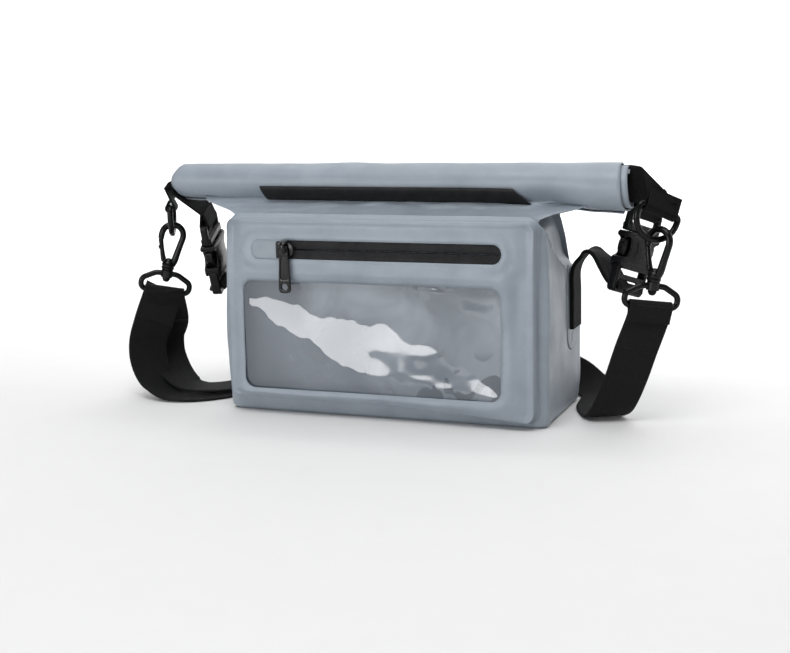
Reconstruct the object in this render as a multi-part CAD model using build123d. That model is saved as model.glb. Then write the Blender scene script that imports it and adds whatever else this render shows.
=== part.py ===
from build123d import *
from math import cos, sin, radians
import os

# ---------------------------------------------------------------- driving dimensions (millimetres)
# Origin: centre of the bag's base, on the surface it stands on. +X right, +Y back, +Z up.
BODY_W = 240.0            # bag body, left to right
BODY_D = 100.0            # bag body at the base, front to back
BODY_H = 141.0            # height of the body below the neck
SHEET = 1.0               # coated fabric of the body
BACK_STRAIGHT_H = 70.0    # the back wall is upright up to here, then leans forward
TOP_BACK_Y = 20.0         # where the leaning back wall meets the neck

ROLL_Y = -18.0            # axis of the rolled closure
ROLL_Z = 165.0
ROLL_R = 15.5
ROLL_WALL = 2.4
ROLL_LEFT = -174.0
ROLL_RIGHT = 168.0
NECK_TOP_Z = 149.3
NECK_TOP_HALF_W = 150.0
NECK_TOP_FRONT = -25.0
NECK_TOP_BACK = -11.0

POCKET_PROUD = 14.0       # the front pocket stands this far in front of the body
POCKET_LEFT = -113.0
POCKET_RIGHT = 114.0
POCKET_LOW = 10.0
POCKET_HIGH = 141.0
WINDOW_BOX = (-101.0, 92.0, 20.0, 98.0)     # left, right, low, high
WINDOW_R = 8.0

ZIP_Z = 121.0
ZIP_LEFT = -73.0
ZIP_RIGHT = 94.0
ZIP_OPEN_H = 13.0         # visible height of the zip in its slot
ZIP_SLIT = 1.6            # gap that the slider's neck runs in
SLIDER_X = -64.5
SLIDER_L = 12.0
SLIDER_H = 9.2
PULLER_L = 30.0
PULLER_W = 7.0

WEB = 25.0                # webbing of the buckles and rings
WEB_T = 1.6
STRAP = 30.0              # webbing of the shoulder strap
STRAP_T = 1.8

RING_WIRE_R = 2.2
D_HALF = 15.2             # D-ring, centreline half width
D_DEPTH = 20.0            # D-ring, centreline depth
SWIVEL_HALF = 18.4        # swivel loop, centreline half width
LOOP_WIRE_R = 2.1

BUCKLE_W = 33.0
BUCKLE_T = 11.5
GAP = 0.3                 # running clearance between moving pieces


# ---------------------------------------------------------------- helpers
def unit(v):
    return Vector(*v).normalized()


def across(direction, axis):
    """The part of direction that is square to axis, as a unit vector."""
    d = Vector(*direction)
    return (d - axis * d.dot(axis)).normalized()


def block(x0, x1, y0, y1, z0, z1):
    """A box between two corners."""
    centre = ((x0 + x1) / 2, (y0 + y1) / 2, (z0 + z1) / 2)
    return Pos(*centre) * Box(x1 - x0, y1 - y0, z1 - z0)


def band(stations, width, thickness):
    """Webbing as a thin ruled solid. stations are (centre, width direction)."""
    centres = [Vector(*c) for c, w in stations]
    rings = []
    for i, (c, w) in enumerate(stations):
        before = centres[max(i - 1, 0)]
        after = centres[min(i + 1, len(centres) - 1)]
        along = (after - before).normalized()
        side = across(w, along)
        face = side.cross(along)
        half_w = side * (width / 2)
        half_t = face * (thickness / 2)
        c = centres[i]
        corners = [c + half_w + half_t, c - half_w + half_t, c - half_w - half_t, c + half_w - half_t]
        rings.append(Wire.make_polygon([tuple(p) for p in corners], close=True))
    return Solid.make_loft(rings, ruled=True)


def webbing_eye(frame, inner_r, thickness, width, rise):
    """Webbing folded round a bar that runs along the frame's X, closing rise above it on Y."""
    square = frame * Plane.YZ.location
    outer = make_hull((Circle(inner_r + thickness) + Pos(rise, 0) * Circle(thickness)).edges())
    inner = make_hull((Circle(inner_r) + Pos(rise - 2 * thickness, 0) * Circle(0.2)).edges())
    return square * extrude(outer - inner, amount=width / 2, both=True)


def wire_loop(points, radii, r):
    """A closed ring of round wire through points in the XY plane."""
    path = FilletPolyline(*points, radius=radii, close=True)
    start = Plane(origin=path @ 0.1, z_dir=path % 0.1)
    return path, start * Circle(r)


def round_bar(start, end, r):
    """A round bar between two points."""
    a = Vector(*start)
    b = Vector(*end)
    at = Plane(origin=(a + b) / 2, z_dir=b - a)
    return at.location * Cylinder(r, (b - a).length)


# ---------------------------------------------------------------- bag body
def front_panel():
    return block(-BODY_W / 2 + SHEET, BODY_W / 2 - SHEET, -BODY_D / 2, -BODY_D / 2 + SHEET, 0, BODY_H)


def rear_panel():
    half = BODY_D / 2
    outline = [
        (half, 0),
        (half, BACK_STRAIGHT_H),
        (TOP_BACK_Y, BODY_H),
        (TOP_BACK_Y - SHEET, BODY_H),
        (half - SHEET, BACK_STRAIGHT_H),
        (half - SHEET, 0),
    ]
    face = make_face(Polyline(*outline, close=True))
    return Plane.YZ * extrude(face, amount=BODY_W / 2 - SHEET, both=True)


def gusset(side):
    """One side wall, upright at the front and leaning forward at the back."""
    half = BODY_D / 2
    outline = [(-half, 0), (half, 0), (half, BACK_STRAIGHT_H), (TOP_BACK_Y, BODY_H), (-half, BODY_H)]
    face = make_face(Polyline(*outline, close=True))
    wall = Plane.YZ * extrude(face, amount=SHEET)
    x = BODY_W / 2 - SHEET if side > 0 else -BODY_W / 2
    return Pos(x, 0, 0) * wall


def base_panel():
    half_w = BODY_W / 2 - SHEET
    half_d = BODY_D / 2 - SHEET
    return block(-half_w, half_w, -half_d, half_d, 0, SHEET)


def neck_form(inset):
    """The folded neck as a solid, from the body's top edge to the underside of the roll."""
    rings = []
    for half_w, y0, y1, z in (
        (BODY_W / 2, -BODY_D / 2, TOP_BACK_Y, BODY_H),
        (NECK_TOP_HALF_W, NECK_TOP_FRONT, NECK_TOP_BACK, NECK_TOP_Z),
    ):
        w = half_w - inset
        corners = [(-w, y0 + inset, z), (w, y0 + inset, z), (w, y1 - inset, z), (-w, y1 - inset, z)]
        rings.append(Wire.make_polygon(corners, close=True))
    return Solid.make_loft(rings, ruled=True)


def neck():
    return neck_form(0) - neck_form(1.5 * SHEET)


def along_x(profile, x0, x1):
    """Extrude a y-z profile from x0 to x1."""
    return Pos(x0, 0, 0) * (Plane.YZ * extrude(profile, amount=x1 - x0))


def roll_top():
    ring = Pos(ROLL_Y, ROLL_Z) * (Circle(ROLL_R) - Circle(ROLL_R - ROLL_WALL))
    return along_x(ring, ROLL_LEFT, ROLL_RIGHT)


def roll_stiffener():
    bar = Pos(ROLL_Y - 6.0, ROLL_Z) * Rectangle(3.0, 20.0)
    return along_x(bar, ROLL_LEFT + 26, ROLL_RIGHT - 6)


def closure_strip():
    low = (-27.2, 149.6)
    high = (-33.6, 158.5)
    corners = [low, high, (high[0] - 1.0, high[1] - 0.6), (low[0] - 1.0, low[1] - 0.6)]
    face = make_face(Polyline(*corners, close=True))
    return along_x(face, -97, 100)


# ---------------------------------------------------------------- front pocket
POCKET_Y = -BODY_D / 2 - POCKET_PROUD


def front_plate(x0, x1, z0, z1, r, y_front, thickness):
    """A plate with rounded corners, parallel to the front, its front face at y_front."""
    outline = Pos((x0 + x1) / 2, (z0 + z1) / 2) * RectangleRounded(x1 - x0, z1 - z0, r)
    return Pos(0, y_front + thickness, 0) * (Plane.XZ * extrude(outline, amount=thickness))


def pocket_panel():
    plate = front_plate(POCKET_LEFT, POCKET_RIGHT, POCKET_LOW, POCKET_HIGH, 5, POCKET_Y, SHEET)
    window = front_plate(*WINDOW_BOX, WINDOW_R, POCKET_Y - 1, 3)
    half = ZIP_OPEN_H / 2
    slot = front_plate(ZIP_LEFT, ZIP_RIGHT, ZIP_Z - half, ZIP_Z + half, half - 0.5, POCKET_Y - 1, 3)
    return plate - window - slot


def pocket_gusset():
    depth = POCKET_PROUD - SHEET
    outer = front_plate(POCKET_LEFT, POCKET_RIGHT, POCKET_LOW, POCKET_HIGH, 5, POCKET_Y + SHEET, depth)
    inner = front_plate(
        POCKET_LEFT + SHEET, POCKET_RIGHT - SHEET, POCKET_LOW + SHEET, POCKET_HIGH - SHEET, 4, POCKET_Y, 2 * depth
    )
    return outer - inner


def pocket_window():
    x0, x1, z0, z1 = WINDOW_BOX
    return front_plate(x0 - 3, x1 + 3, z0 - 3, z1 + 3, WINDOW_R + 3, POCKET_Y + SHEET, 0.5)


def zipper_tape(side):
    """One half of the coated zip tape, behind the pocket panel."""
    near = ZIP_Z + side * ZIP_SLIT / 2
    far = ZIP_Z + side * 8.6
    low, high = min(near, far), max(near, far)
    y = POCKET_Y + SHEET
    return block(ZIP_LEFT - 2, ZIP_RIGHT + 2, y, y + 0.8, low, high)


def zipper_coil():
    rows = []
    for side in (-1, 1):
        near = ZIP_Z + side * ZIP_SLIT / 2
        far = near + side * 1.3
        y = POCKET_Y + SHEET + 0.8
        rows.append(block(ZIP_LEFT + 0.5, ZIP_RIGHT - 0.5, y, y + 1.4, min(near, far), max(near, far)))
    return Compound(children=rows)


def zipper_stops():
    y = POCKET_Y + SHEET + 0.8
    ends = []
    for x in (ZIP_LEFT - 1.5, ZIP_RIGHT - 0.5):
        ends.append(block(x, x + 2, y, y + 1.6, ZIP_Z - 2.6, ZIP_Z + 2.6))
    return Compound(children=ends)


def zipper_garage():
    return front_plate(ZIP_LEFT - 21, ZIP_LEFT - 0.6, ZIP_Z - 7, ZIP_Z + 7, 5, POCKET_Y - 0.6, 0.6)


PULL_PIVOT_Y = POCKET_Y - 3.6
TAPE_FRONT = POCKET_Y + SHEET


def zipper_slider():
    half = SLIDER_L / 2
    high = SLIDER_H / 2
    back = TAPE_FRONT + 0.8 + 1.4 + GAP
    front = front_plate(SLIDER_X - half, SLIDER_X + half, ZIP_Z - high, ZIP_Z + high, 2, TAPE_FRONT - 2, 1.7)
    rear = front_plate(SLIDER_X - half, SLIDER_X + half, ZIP_Z - high, ZIP_Z + high, 2, back, 1.2)
    neck_post = block(SLIDER_X - 3, SLIDER_X + 3, TAPE_FRONT - 0.5, back + 0.2, ZIP_Z - 0.5, ZIP_Z + 0.5)
    peg = round_bar((SLIDER_X, TAPE_FRONT - 1, ZIP_Z), (SLIDER_X, PULL_PIVOT_Y - 1.9, ZIP_Z), 1.5)
    head = round_bar((SLIDER_X, PULL_PIVOT_Y - 1.2, ZIP_Z), (SLIDER_X, PULL_PIVOT_Y - 2.2, ZIP_Z), 2.6)
    return front + rear + neck_post + peg + head


def zipper_puller():
    eye = Circle(3.4)
    blade = Pos(0, -PULLER_L / 2) * RectangleRounded(PULLER_W, PULLER_L, 3)
    outline = eye + blade - Circle(1.9) - Pos(0, -PULLER_L + 5) * SlotOverall(7, 3.4, rotation=90)
    plate = extrude(outline, amount=1.7)
    return Pos(SLIDER_X, PULL_PIVOT_Y + 0.85, ZIP_Z) * (Plane.XZ * plate)


# ---------------------------------------------------------------- side patches and side straps
def side_patch(side):
    outline = Pos(22, 74) * RectangleRounded(35, 62, 15)
    patch = Plane.YZ * extrude(outline, amount=0.8)
    return Pos(BODY_W / 2 if side > 0 else -BODY_W / 2 - 0.8, 0, 0) * patch


class Buckle:
    """Where a side-release buckle lies: top is the middle of the plug's bar, down its long axis."""

    def __init__(self, side, top, down, wide):
        self.side = side
        self.top = Vector(*top)
        self.down = unit(down)
        self.wide = across(wide, self.down)
        x_dir = self.wide if side > 0 else self.wide * -1
        self.face = x_dir.cross(self.down * -1)
        self.frame = Plane(origin=self.top, x_dir=x_dir, z_dir=self.face).location

    def at(self, s, n=0.0):
        """A point s along the buckle and n out of its face."""
        return tuple(self.top + self.down * s + self.face * n)


BUCKLES = {
    1: Buckle(1, (174.3, 12.3, 142.1), (-0.22, -0.20, -0.955), (0.477, 0.833, -0.284)),
    -1: Buckle(-1, (-157.0, -6.0, 134.0), (-0.02, 0.35, -0.94), (-0.2, 0.92, 0.34)),
}
LADDER_SLOT = 50.4        # where the webbing goes through the ladder, along the buckle
HOUSING = (14.4, 38.0)    # socket housing, along the buckle


def side_strap(side):
    """The doubled webbing: flat on the side wall, then arching out to the buckle's ladder."""
    buckle = BUCKLES[side]
    x = BODY_W / 2 + 0.8 + WEB_T + 0.1
    y = 22.0
    wide = tuple(buckle.wide)
    slot = Vector(*buckle.at(LADDER_SLOT, -9))
    patch_top = Vector(side * x, y, 98)
    out = slot - patch_top
    stations = [
        ((side * x, y, 60), (0, 1, 0)),
        ((side * x, y, 99), (0, 1, 0)),
        (tuple(patch_top + Vector(out.X * 0.14, out.Y * 0.1, 11)), (0, 1, 0)),
        (tuple(patch_top + Vector(out.X * 0.40, out.Y * 0.3, 17)), (0, 1, 0)),
        (tuple(patch_top + Vector(out.X * 0.72, out.Y * 0.65, 11)), wide),
        (buckle.at(LADDER_SLOT, -8), wide),
        (buckle.at(LADDER_SLOT, -2.8), wide),
        (buckle.at(LADDER_SLOT, 3.5), wide),
    ]
    return band(stations, WEB, 2 * WEB_T)


def buckle_female(side):
    s0, s1 = HOUSING
    length = s1 - s0
    shell = Pos(0, -(s0 + s1) / 2, 0) * Box(BUCKLE_W, length, BUCKLE_T)
    shell = fillet(shell.edges().filter_by(Axis.Y), 2.5)
    cavity = Pos(0, -(s0 + s1) / 2 + 1.6, 0) * Box(BUCKLE_W - 4, length, BUCKLE_T - 4)
    window = Pos(0, -25.5, 0) * Box(BUCKLE_W + 4, 15, BUCKLE_T - 4)
    body = shell - cavity - window
    for x in (-1, 1):
        body += Pos(x * 14.2, -46.5, 0) * Box(2.8, 19, 7.5)
    for s, r in ((45.8, 1.9), (54.6, 1.9)):
        body += round_bar((-14.5, -s, 0), (14.5, -s, 0), r)
    return BUCKLES[side].frame * body


def buckle_male(side):
    base = Pos(0, -11.0, 0) * Box(BUCKLE_W, 6.2, 7.0)
    base = fillet(base.edges().filter_by(Axis.Y), 1.5)
    tongue = Pos(0, -22, 0) * Box(4.0, 18, 3.0)
    body = base + tongue + round_bar((-15, 0, 0), (15, 0, 0), 2.2)
    for x in (-1, 1):
        body += Pos(x * 14.9, -4.2, 0) * Box(3.2, 12.4, 5.6)
    return BUCKLES[side].frame * body


def buckle_arm(side, edge):
    """A spring arm of the plug; its barb sits in the housing's side window."""
    outer = [(10.6, -14.5), (14.0, -19.0), (16.2, -21.0), (16.2, -27.0), (14.0, -32.0)]
    inner = [(11.6, -32.0), (11.4, -24.0), (7.6, -14.5)]
    face = make_face(Polyline(*[(edge * x, y) for x, y in outer + inner], close=True))
    return BUCKLES[side].frame * extrude(face, amount=3.0, both=True)


# ---------------------------------------------------------------- rings and hooks at the roll's ends
class Hanger:
    """A D-ring on the end of the roll with the strap's swivel hook clipped to it."""

    def __init__(self, side, bar_mid, bar_yaw, bar_roll, contact_turn, down, hook_yaw, loop_yaw):
        t, p = radians(bar_yaw), radians(bar_roll)
        self.side = side
        self.bar = Vector(cos(p) * cos(t), cos(p) * sin(t), -sin(p))
        self.ring_down = Vector(-sin(p) * cos(t), -sin(p) * sin(t), -cos(p))
        self.bar_mid = Vector(*bar_mid)
        normal = self.bar.cross(self.ring_down * -1)
        self.ring_frame = Plane(origin=self.bar_mid, x_dir=self.bar, z_dir=normal).location
        turn = radians(contact_turn)
        straight = D_DEPTH - D_HALF
        self.contact = (
            self.bar_mid
            + self.bar * (D_HALF * sin(turn))
            + self.ring_down * (straight + D_HALF * cos(turn))
        )
        self.down = unit(down)
        self.hook_frame = self.turned(hook_yaw).location
        loop_plane = self.turned(loop_yaw)
        self.loop_frame = loop_plane.location
        self.loop_wide = loop_plane.x_dir

    def turned(self, yaw):
        """A frame at the contact point, Y up the hook's stem, X turned by yaw."""
        wide = across((cos(radians(yaw)), sin(radians(yaw)), 0), self.down)
        return Plane(origin=self.contact, x_dir=wide, z_dir=wide.cross(self.down * -1))

    def below(self, depth):
        """A point on the stem's axis, depth below the contact point."""
        return self.contact + self.down * depth


HANGERS = {
    1: Hanger(1, (190.5, -22.5, 148.3), 38, 23.5, 30, (-0.12, -0.03, -0.992), -24, 28),
    -1: Hanger(-1, (-180.5, -20.0, 145.5), 115, 0, 0, (-0.2, -0.03, -0.98), 38, 30),
}
STEM_TOP = 28.7           # the swivel loop's boss starts this far below the contact point
LOOP_TOP = 31.4
LOOP_BAR = 45.5           # the loop's straight bar, below the contact point


def d_ring(side):
    points = [(-D_HALF, 0), (D_HALF, 0), (D_HALF, -D_DEPTH), (-D_HALF, -D_DEPTH)]
    path, section = wire_loop(points, [2.6, 2.6, D_HALF - 0.1, D_HALF - 0.1], RING_WIRE_R)
    return HANGERS[side].ring_frame * sweep(section, path=path)


def swivel_ring(side):
    w = SWIVEL_HALF
    points = [(-w, -LOOP_BAR), (w, -LOOP_BAR), (w, -37.2), (8, -LOOP_TOP), (-8, -LOOP_TOP), (-w, -37.2)]
    path, section = wire_loop(points, [4.5, 4.5, 5, 9, 9, 5], LOOP_WIRE_R)
    boss = round_bar((0, -STEM_TOP, 0), (0, -34.2, 0), 4.4)
    hole = round_bar((0, -STEM_TOP + 2, 0), (0, -36.5, 0), 2.2)
    return HANGERS[side].loop_frame * (sweep(section, path=path) + boss - hole)


DOME_Y = -1.2             # centre of the hook's round top
DOME_IN = 5.8
DOME_OUT = 10.6
NOSE_Y = -4.2             # where the hook's fixed nose ends, on the gate's side


def hook_body(side):
    dome = Pos(0, DOME_Y) * (Circle(DOME_OUT) - Circle(DOME_IN))
    dome -= Pos(0, DOME_Y - 20) * Rectangle(40, 40)
    nose = Pos(-(DOME_IN + DOME_OUT) / 2, (DOME_Y + NOSE_Y) / 2) * Rectangle(DOME_OUT - DOME_IN, DOME_Y - NOSE_Y)
    outline = [(DOME_IN, DOME_Y), (DOME_OUT, DOME_Y), (5.2, -25), (-1.5, -25), (-1.5, -22), (2.8, -20.5)]
    spine = make_face(Polyline(*outline, close=True))
    solid = extrude(dome + nose + spine, amount=2.7, both=True)
    solid += round_bar((0, -22.4, 0), (0, -STEM_TOP + GAP, 0), 5.0)
    solid += round_bar((0, -26, 0), (0, -36.5, 0), 1.9)
    solid += round_bar((0, -34.2 - GAP, 0), (0, -36.8, 0), 3.0)
    return HANGERS[side].hook_frame * solid


def hook_gate(side):
    """The sprung left leg of the hook."""
    outline = [(-10.2, -6.4), (-6.2, -4.7), (-2.9, -19.6), (-2.6, -21.9), (-5.4, -21.9), (-7.4, -16)]
    face = make_face(Polyline(*outline, close=True))
    return HANGERS[side].hook_frame * extrude(face, amount=2.2, both=True)


def ring_tab(side):
    """Webbing from inside the roll's end, folded round the D-ring's bar."""
    hanger = HANGERS[side]
    rise = 12.0 if side > 0 else 4.4
    eye = webbing_eye(hanger.ring_frame, RING_WIRE_R + GAP, WEB_T, WEB - 0.6, rise)
    crown = tuple(hanger.bar_mid - hanger.ring_down * (rise - 1))
    if side > 0:
        y = ROLL_Y - 2.5
        inside = [((146, y, ROLL_Z), (0, 0, 1)), ((ROLL_RIGHT + 2, y, ROLL_Z), (0, 0, 1))]
        wide = tuple(hanger.bar * -1)
    else:
        z = ROLL_Z + 2
        inside = [((-150, ROLL_Y, z), (0, 1, 0)), ((ROLL_LEFT - 3, ROLL_Y, z), (0, 1, 0))]
        wide = tuple(hanger.bar)
    return eye + band(inside + [(crown, wide)], WEB - 0.6, WEB_T)


def buckle_tab(side):
    """Webbing from inside the roll's end, folded round the plug's bar."""
    buckle = BUCKLES[side]
    rise = 10.0
    eye = webbing_eye(buckle.frame, 2.2 + GAP, WEB_T, WEB, rise)
    crown = tuple(buckle.top - buckle.down * (rise - 1))
    if side > 0:
        y = ROLL_Y + 3.0
        inside = [((146, y, ROLL_Z), (0, 0, 1)), ((ROLL_RIGHT + 5, y, ROLL_Z), (0, 0, 1))]
        wide = tuple(buckle.wide * -1)
    else:
        z = ROLL_Z - 4
        inside = [((-150, ROLL_Y, z), (0, 1, 0)), ((ROLL_LEFT - 0.3, ROLL_Y, z), (0, 1, 0))]
        wide = tuple(buckle.wide)
    return eye + band(inside + [(crown, wide)], WEB - 1.5, WEB_T)


# ---------------------------------------------------------------- shoulder strap
GLIDE_X = -30.0           # the adjuster lies behind the bag
GLIDE_Y = 66.0
GLIDE_Z = 19.0
GLIDE_PITCH = 11.5        # between the adjuster's bars
GLIDE_BAR_R = 1.3
JOIN_X = 10.0             # the two strap nodes meet here
EYE_RISE = 11.0

UP = (0, 0, 1)
RIGHT_ROUTE = [
    ((176, -24.5, 54), (0.88, 0.43, -0.2)),
    ((168.5, -23, 32), (0.88, 0.45, -0.2)),
    ((160, -19, 13), (0.88, 0.46, -0.12)),
    ((152, -9, 3.4), (0.88, 0.47, -0.02)),
    ((145, 5, 1.2), (0.93, 0.36, 0)),
    ((139, 22, 1.1), (0.98, 0.18, 0)),
    ((137, 40, 1.3), (0.99, 0.1, 0)),
    ((134.5, 57, 3.0), (0.85, 0.5, 0.1)),
    ((122, 69, 7.6), (0.6, 0.65, 0.4)),
    ((106, 75, 13.4), (0.25, 0.4, 0.85)),
    ((84, 74.5, 15.8), (0.05, 0.1, 1)),
    ((60, 70, 17), UP),
    ((35, 64.6, GLIDE_Z), UP),
    ((JOIN_X + 12, 63.5, GLIDE_Z), UP),
    ((JOIN_X, 63.5, GLIDE_Z), UP),
]
OUTER_ROUTE = [
    ((-198, -25, 58), (0.8, 0.6, -0.12)),
    ((-203.5, -26, 42), (0.68, 0.73, 0)),
    ((-202, -28, 26), (0.62, 0.78, 0)),
    ((-193, -31, 11.5), (0.55, 0.82, -0.1)),
    ((-179, -34, 3.6), (0.2, 0.97, 0)),
    ((-163, -30, 1.6), (-0.25, 0.97, 0)),
    ((-150, -17, 1.2), (-0.7, 0.7, 0)),
    ((-142.5, 0, 1.1), (-0.95, 0.3, 0)),
    ((-139, 20, 1.1), (-0.98, 0.18, 0)),
    ((-138, 40, 1.2), (-0.99, 0.1, 0)),
    ((-134.5, 57, 3.0), (-0.85, 0.5, 0.1)),
    ((-124, 71, 7.6), (-0.6, 0.65, 0.4)),
    ((-106, 78, 13.4), (-0.25, 0.4, 0.85)),
    ((-84, 76, 16.5), (-0.05, 0.1, 1)),
    ((-57, 66, 18.6), UP),
    ((GLIDE_X - 14.0, 63.5, GLIDE_Z), UP),
    ((GLIDE_X - 9.5, 63.5, GLIDE_Z), UP),
    ((GLIDE_X - 3.2, 69.8, GLIDE_Z), UP),
    ((GLIDE_X + 3.2, 69.8, GLIDE_Z), UP),
    ((GLIDE_X + 9.5, 63.5, GLIDE_Z), UP),
    ((GLIDE_X + 14.0, 63.5, GLIDE_Z), UP),
    ((JOIN_X, 63.5, GLIDE_Z), UP),
]
INNER_ROUTE = [
    ((-192.5, -11, 57), (0.8, 0.6, -0.12)),
    ((-198, -8, 43), (0.68, 0.73, 0)),
    ((-196.5, -9, 29), (0.62, 0.78, 0)),
    ((-187, -13, 16.5), (0.55, 0.82, -0.1)),
    ((-173, -18, 8.6), (0.2, 0.97, 0)),
    ((-159, -13, 5.6), (-0.4, 0.92, 0)),
    ((-148, -1, 4.6), (-0.8, 0.6, 0)),
    ((-140.5, 12, 4.4), (-0.96, 0.25, 0)),
    ((-138, 30, 4.4), (-0.99, 0.12, 0)),
    ((-137, 46, 5.2), (-0.93, 0.35, 0.1)),
    ((-130, 61.5, 9), (-0.68, 0.58, 0.4)),
    ((-112, 68, 14.5), (-0.25, 0.4, 0.85)),
    ((-88, 66, 17.5), (-0.05, 0.1, 1)),
    ((-60, 61.6, GLIDE_Z), UP),
    ((GLIDE_X - 12.0, 61.4, GLIDE_Z), UP),
    ((GLIDE_X - 8.2, 62.2, GLIDE_Z), UP),
]


def loop_eye(hanger):
    """Strap webbing folded round the swivel loop's straight bar, closing downwards."""
    flipped = hanger.loop_frame * Pos(0, -LOOP_BAR, 0) * Rot(0, 0, 180)
    return webbing_eye(flipped, LOOP_WIRE_R + GAP, STRAP_T, STRAP, EYE_RISE)


def shoulder_strap():
    """The strap from the right hook's loop to the adjuster, its end sewn back on itself."""
    hanger = HANGERS[1]
    start = (tuple(hanger.below(LOOP_BAR + EYE_RISE - 0.5)), tuple(hanger.loop_wide))
    return loop_eye(hanger) + band([start] + RIGHT_ROUTE, STRAP, STRAP_T)


def strap_loop():
    """The doubled part of the strap: through the left hook's loop and back to the adjuster."""
    hanger = HANGERS[-1]
    wide = tuple(hanger.loop_wide)
    low = hanger.below(LOOP_BAR + EYE_RISE - 1.0)
    outer = band([(tuple(low + Vector(-0.9, -0.5, 0)), wide)] + OUTER_ROUTE, STRAP, STRAP_T)
    anchor = Plane(origin=(GLIDE_X, GLIDE_Y, GLIDE_Z), x_dir=(0, 0, 1), z_dir=(0, -1, 0)).location
    anchor_eye = webbing_eye(anchor, GLIDE_BAR_R + 0.2, 1.4, STRAP, 7.0)
    inner = band([(tuple(low + Vector(0.9, 0.5, 0)), wide)] + INNER_ROUTE, STRAP, STRAP_T)
    return loop_eye(hanger) + outer + (inner + anchor_eye)


def strap_adjuster():
    """A three-bar adjuster standing on its edge with the strap."""
    half = GLIDE_Z - 1.2
    body = None
    for step in (-1, 0, 1):
        x = GLIDE_X + step * GLIDE_PITCH
        bar = round_bar((x, GLIDE_Y, GLIDE_Z - half), (x, GLIDE_Y, GLIDE_Z + half), GLIDE_BAR_R)
        body = bar if body is None else body + bar
    reach = GLIDE_PITCH + GLIDE_BAR_R
    for z in (GLIDE_Z - half, GLIDE_Z + half - 2.0):
        body += block(GLIDE_X - reach, GLIDE_X + reach, GLIDE_Y - GLIDE_BAR_R, GLIDE_Y + GLIDE_BAR_R, z, z + 2.0)
    return body


PARTS = {
    "front_panel": front_panel,
    "rear_panel": rear_panel,
    "left_side_panel": lambda: gusset(-1),
    "right_side_panel": lambda: gusset(1),
    "base_panel": base_panel,
    "neck": neck,
    "roll_top": roll_top,
    "roll_stiffener": roll_stiffener,
    "closure_strip": closure_strip,
    "pocket_panel": pocket_panel,
    "pocket_gusset": pocket_gusset,
    "pocket_window": pocket_window,
    "zipper_tape_upper": lambda: zipper_tape(1),
    "zipper_tape_lower": lambda: zipper_tape(-1),
    "zipper_coil": zipper_coil,
    "zipper_stops": zipper_stops,
    "zipper_garage": zipper_garage,
    "zipper_slider": zipper_slider,
    "zipper_puller": zipper_puller,
    "shoulder_strap": shoulder_strap,
    "strap_loop": strap_loop,
    "strap_adjuster": strap_adjuster,
}
for name, side in (("left", -1), ("right", 1)):
    PARTS[name + "_side_patch"] = lambda s=side: side_patch(s)
    PARTS[name + "_side_strap"] = lambda s=side: side_strap(s)
    PARTS[name + "_buckle_female"] = lambda s=side: buckle_female(s)
    PARTS[name + "_buckle_male"] = lambda s=side: buckle_male(s)
    PARTS[name + "_buckle_front_arm"] = lambda s=side: buckle_arm(s, -s)
    PARTS[name + "_buckle_rear_arm"] = lambda s=side: buckle_arm(s, s)
    PARTS[name + "_d_ring"] = lambda s=side: d_ring(s)
    PARTS[name + "_ring_tab"] = lambda s=side: ring_tab(s)
    PARTS[name + "_buckle_tab"] = lambda s=side: buckle_tab(s)
    PARTS[name + "_swivel_ring"] = lambda s=side: swivel_ring(s)
    PARTS[name + "_hook_body"] = lambda s=side: hook_body(s)
    PARTS[name + "_hook_gate"] = lambda s=side: hook_gate(s)

os.makedirs("parts", exist_ok=True)
for name, make in PARTS.items():
    solid = make()
    export_step(solid, "parts/" + name + ".step")
    print(name, round(solid.volume, 1), "valid" if solid.is_valid else "INVALID")
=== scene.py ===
import bmesh
import bpy
from math import cos, exp, pi, radians, sin, sqrt
from mathutils import Matrix, Vector, noise
from mathutils.geometry import delaunay_2d_cdt


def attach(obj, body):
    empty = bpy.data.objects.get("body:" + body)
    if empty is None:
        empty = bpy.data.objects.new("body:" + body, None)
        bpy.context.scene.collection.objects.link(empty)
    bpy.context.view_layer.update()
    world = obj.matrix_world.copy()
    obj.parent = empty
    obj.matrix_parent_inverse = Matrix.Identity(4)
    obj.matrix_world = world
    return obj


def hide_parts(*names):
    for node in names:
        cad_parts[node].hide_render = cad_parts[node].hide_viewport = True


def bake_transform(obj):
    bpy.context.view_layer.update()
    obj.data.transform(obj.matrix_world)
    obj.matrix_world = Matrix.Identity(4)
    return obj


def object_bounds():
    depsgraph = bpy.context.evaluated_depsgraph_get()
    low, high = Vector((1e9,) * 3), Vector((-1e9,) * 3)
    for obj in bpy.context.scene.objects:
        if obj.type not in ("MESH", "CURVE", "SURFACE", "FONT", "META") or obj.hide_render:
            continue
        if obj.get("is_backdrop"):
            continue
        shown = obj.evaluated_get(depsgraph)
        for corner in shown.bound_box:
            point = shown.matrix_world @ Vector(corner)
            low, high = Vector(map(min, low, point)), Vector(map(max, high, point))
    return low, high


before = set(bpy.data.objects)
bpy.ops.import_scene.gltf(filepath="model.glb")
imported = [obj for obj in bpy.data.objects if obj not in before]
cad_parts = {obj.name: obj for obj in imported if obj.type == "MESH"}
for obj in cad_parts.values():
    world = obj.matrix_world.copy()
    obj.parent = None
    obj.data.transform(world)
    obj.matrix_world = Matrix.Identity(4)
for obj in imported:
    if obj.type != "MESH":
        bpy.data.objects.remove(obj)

CAD_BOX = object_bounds()
MM = 0.001
scene = bpy.context.scene


# -------- camera
LENS = 62.45
CAM_AT = (351.2, -933.0, 232.6)
CAM_AZIMUTH = 21.06
CAM_ELEVATION = 9.93
CAM_ROLL = -1.17


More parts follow.
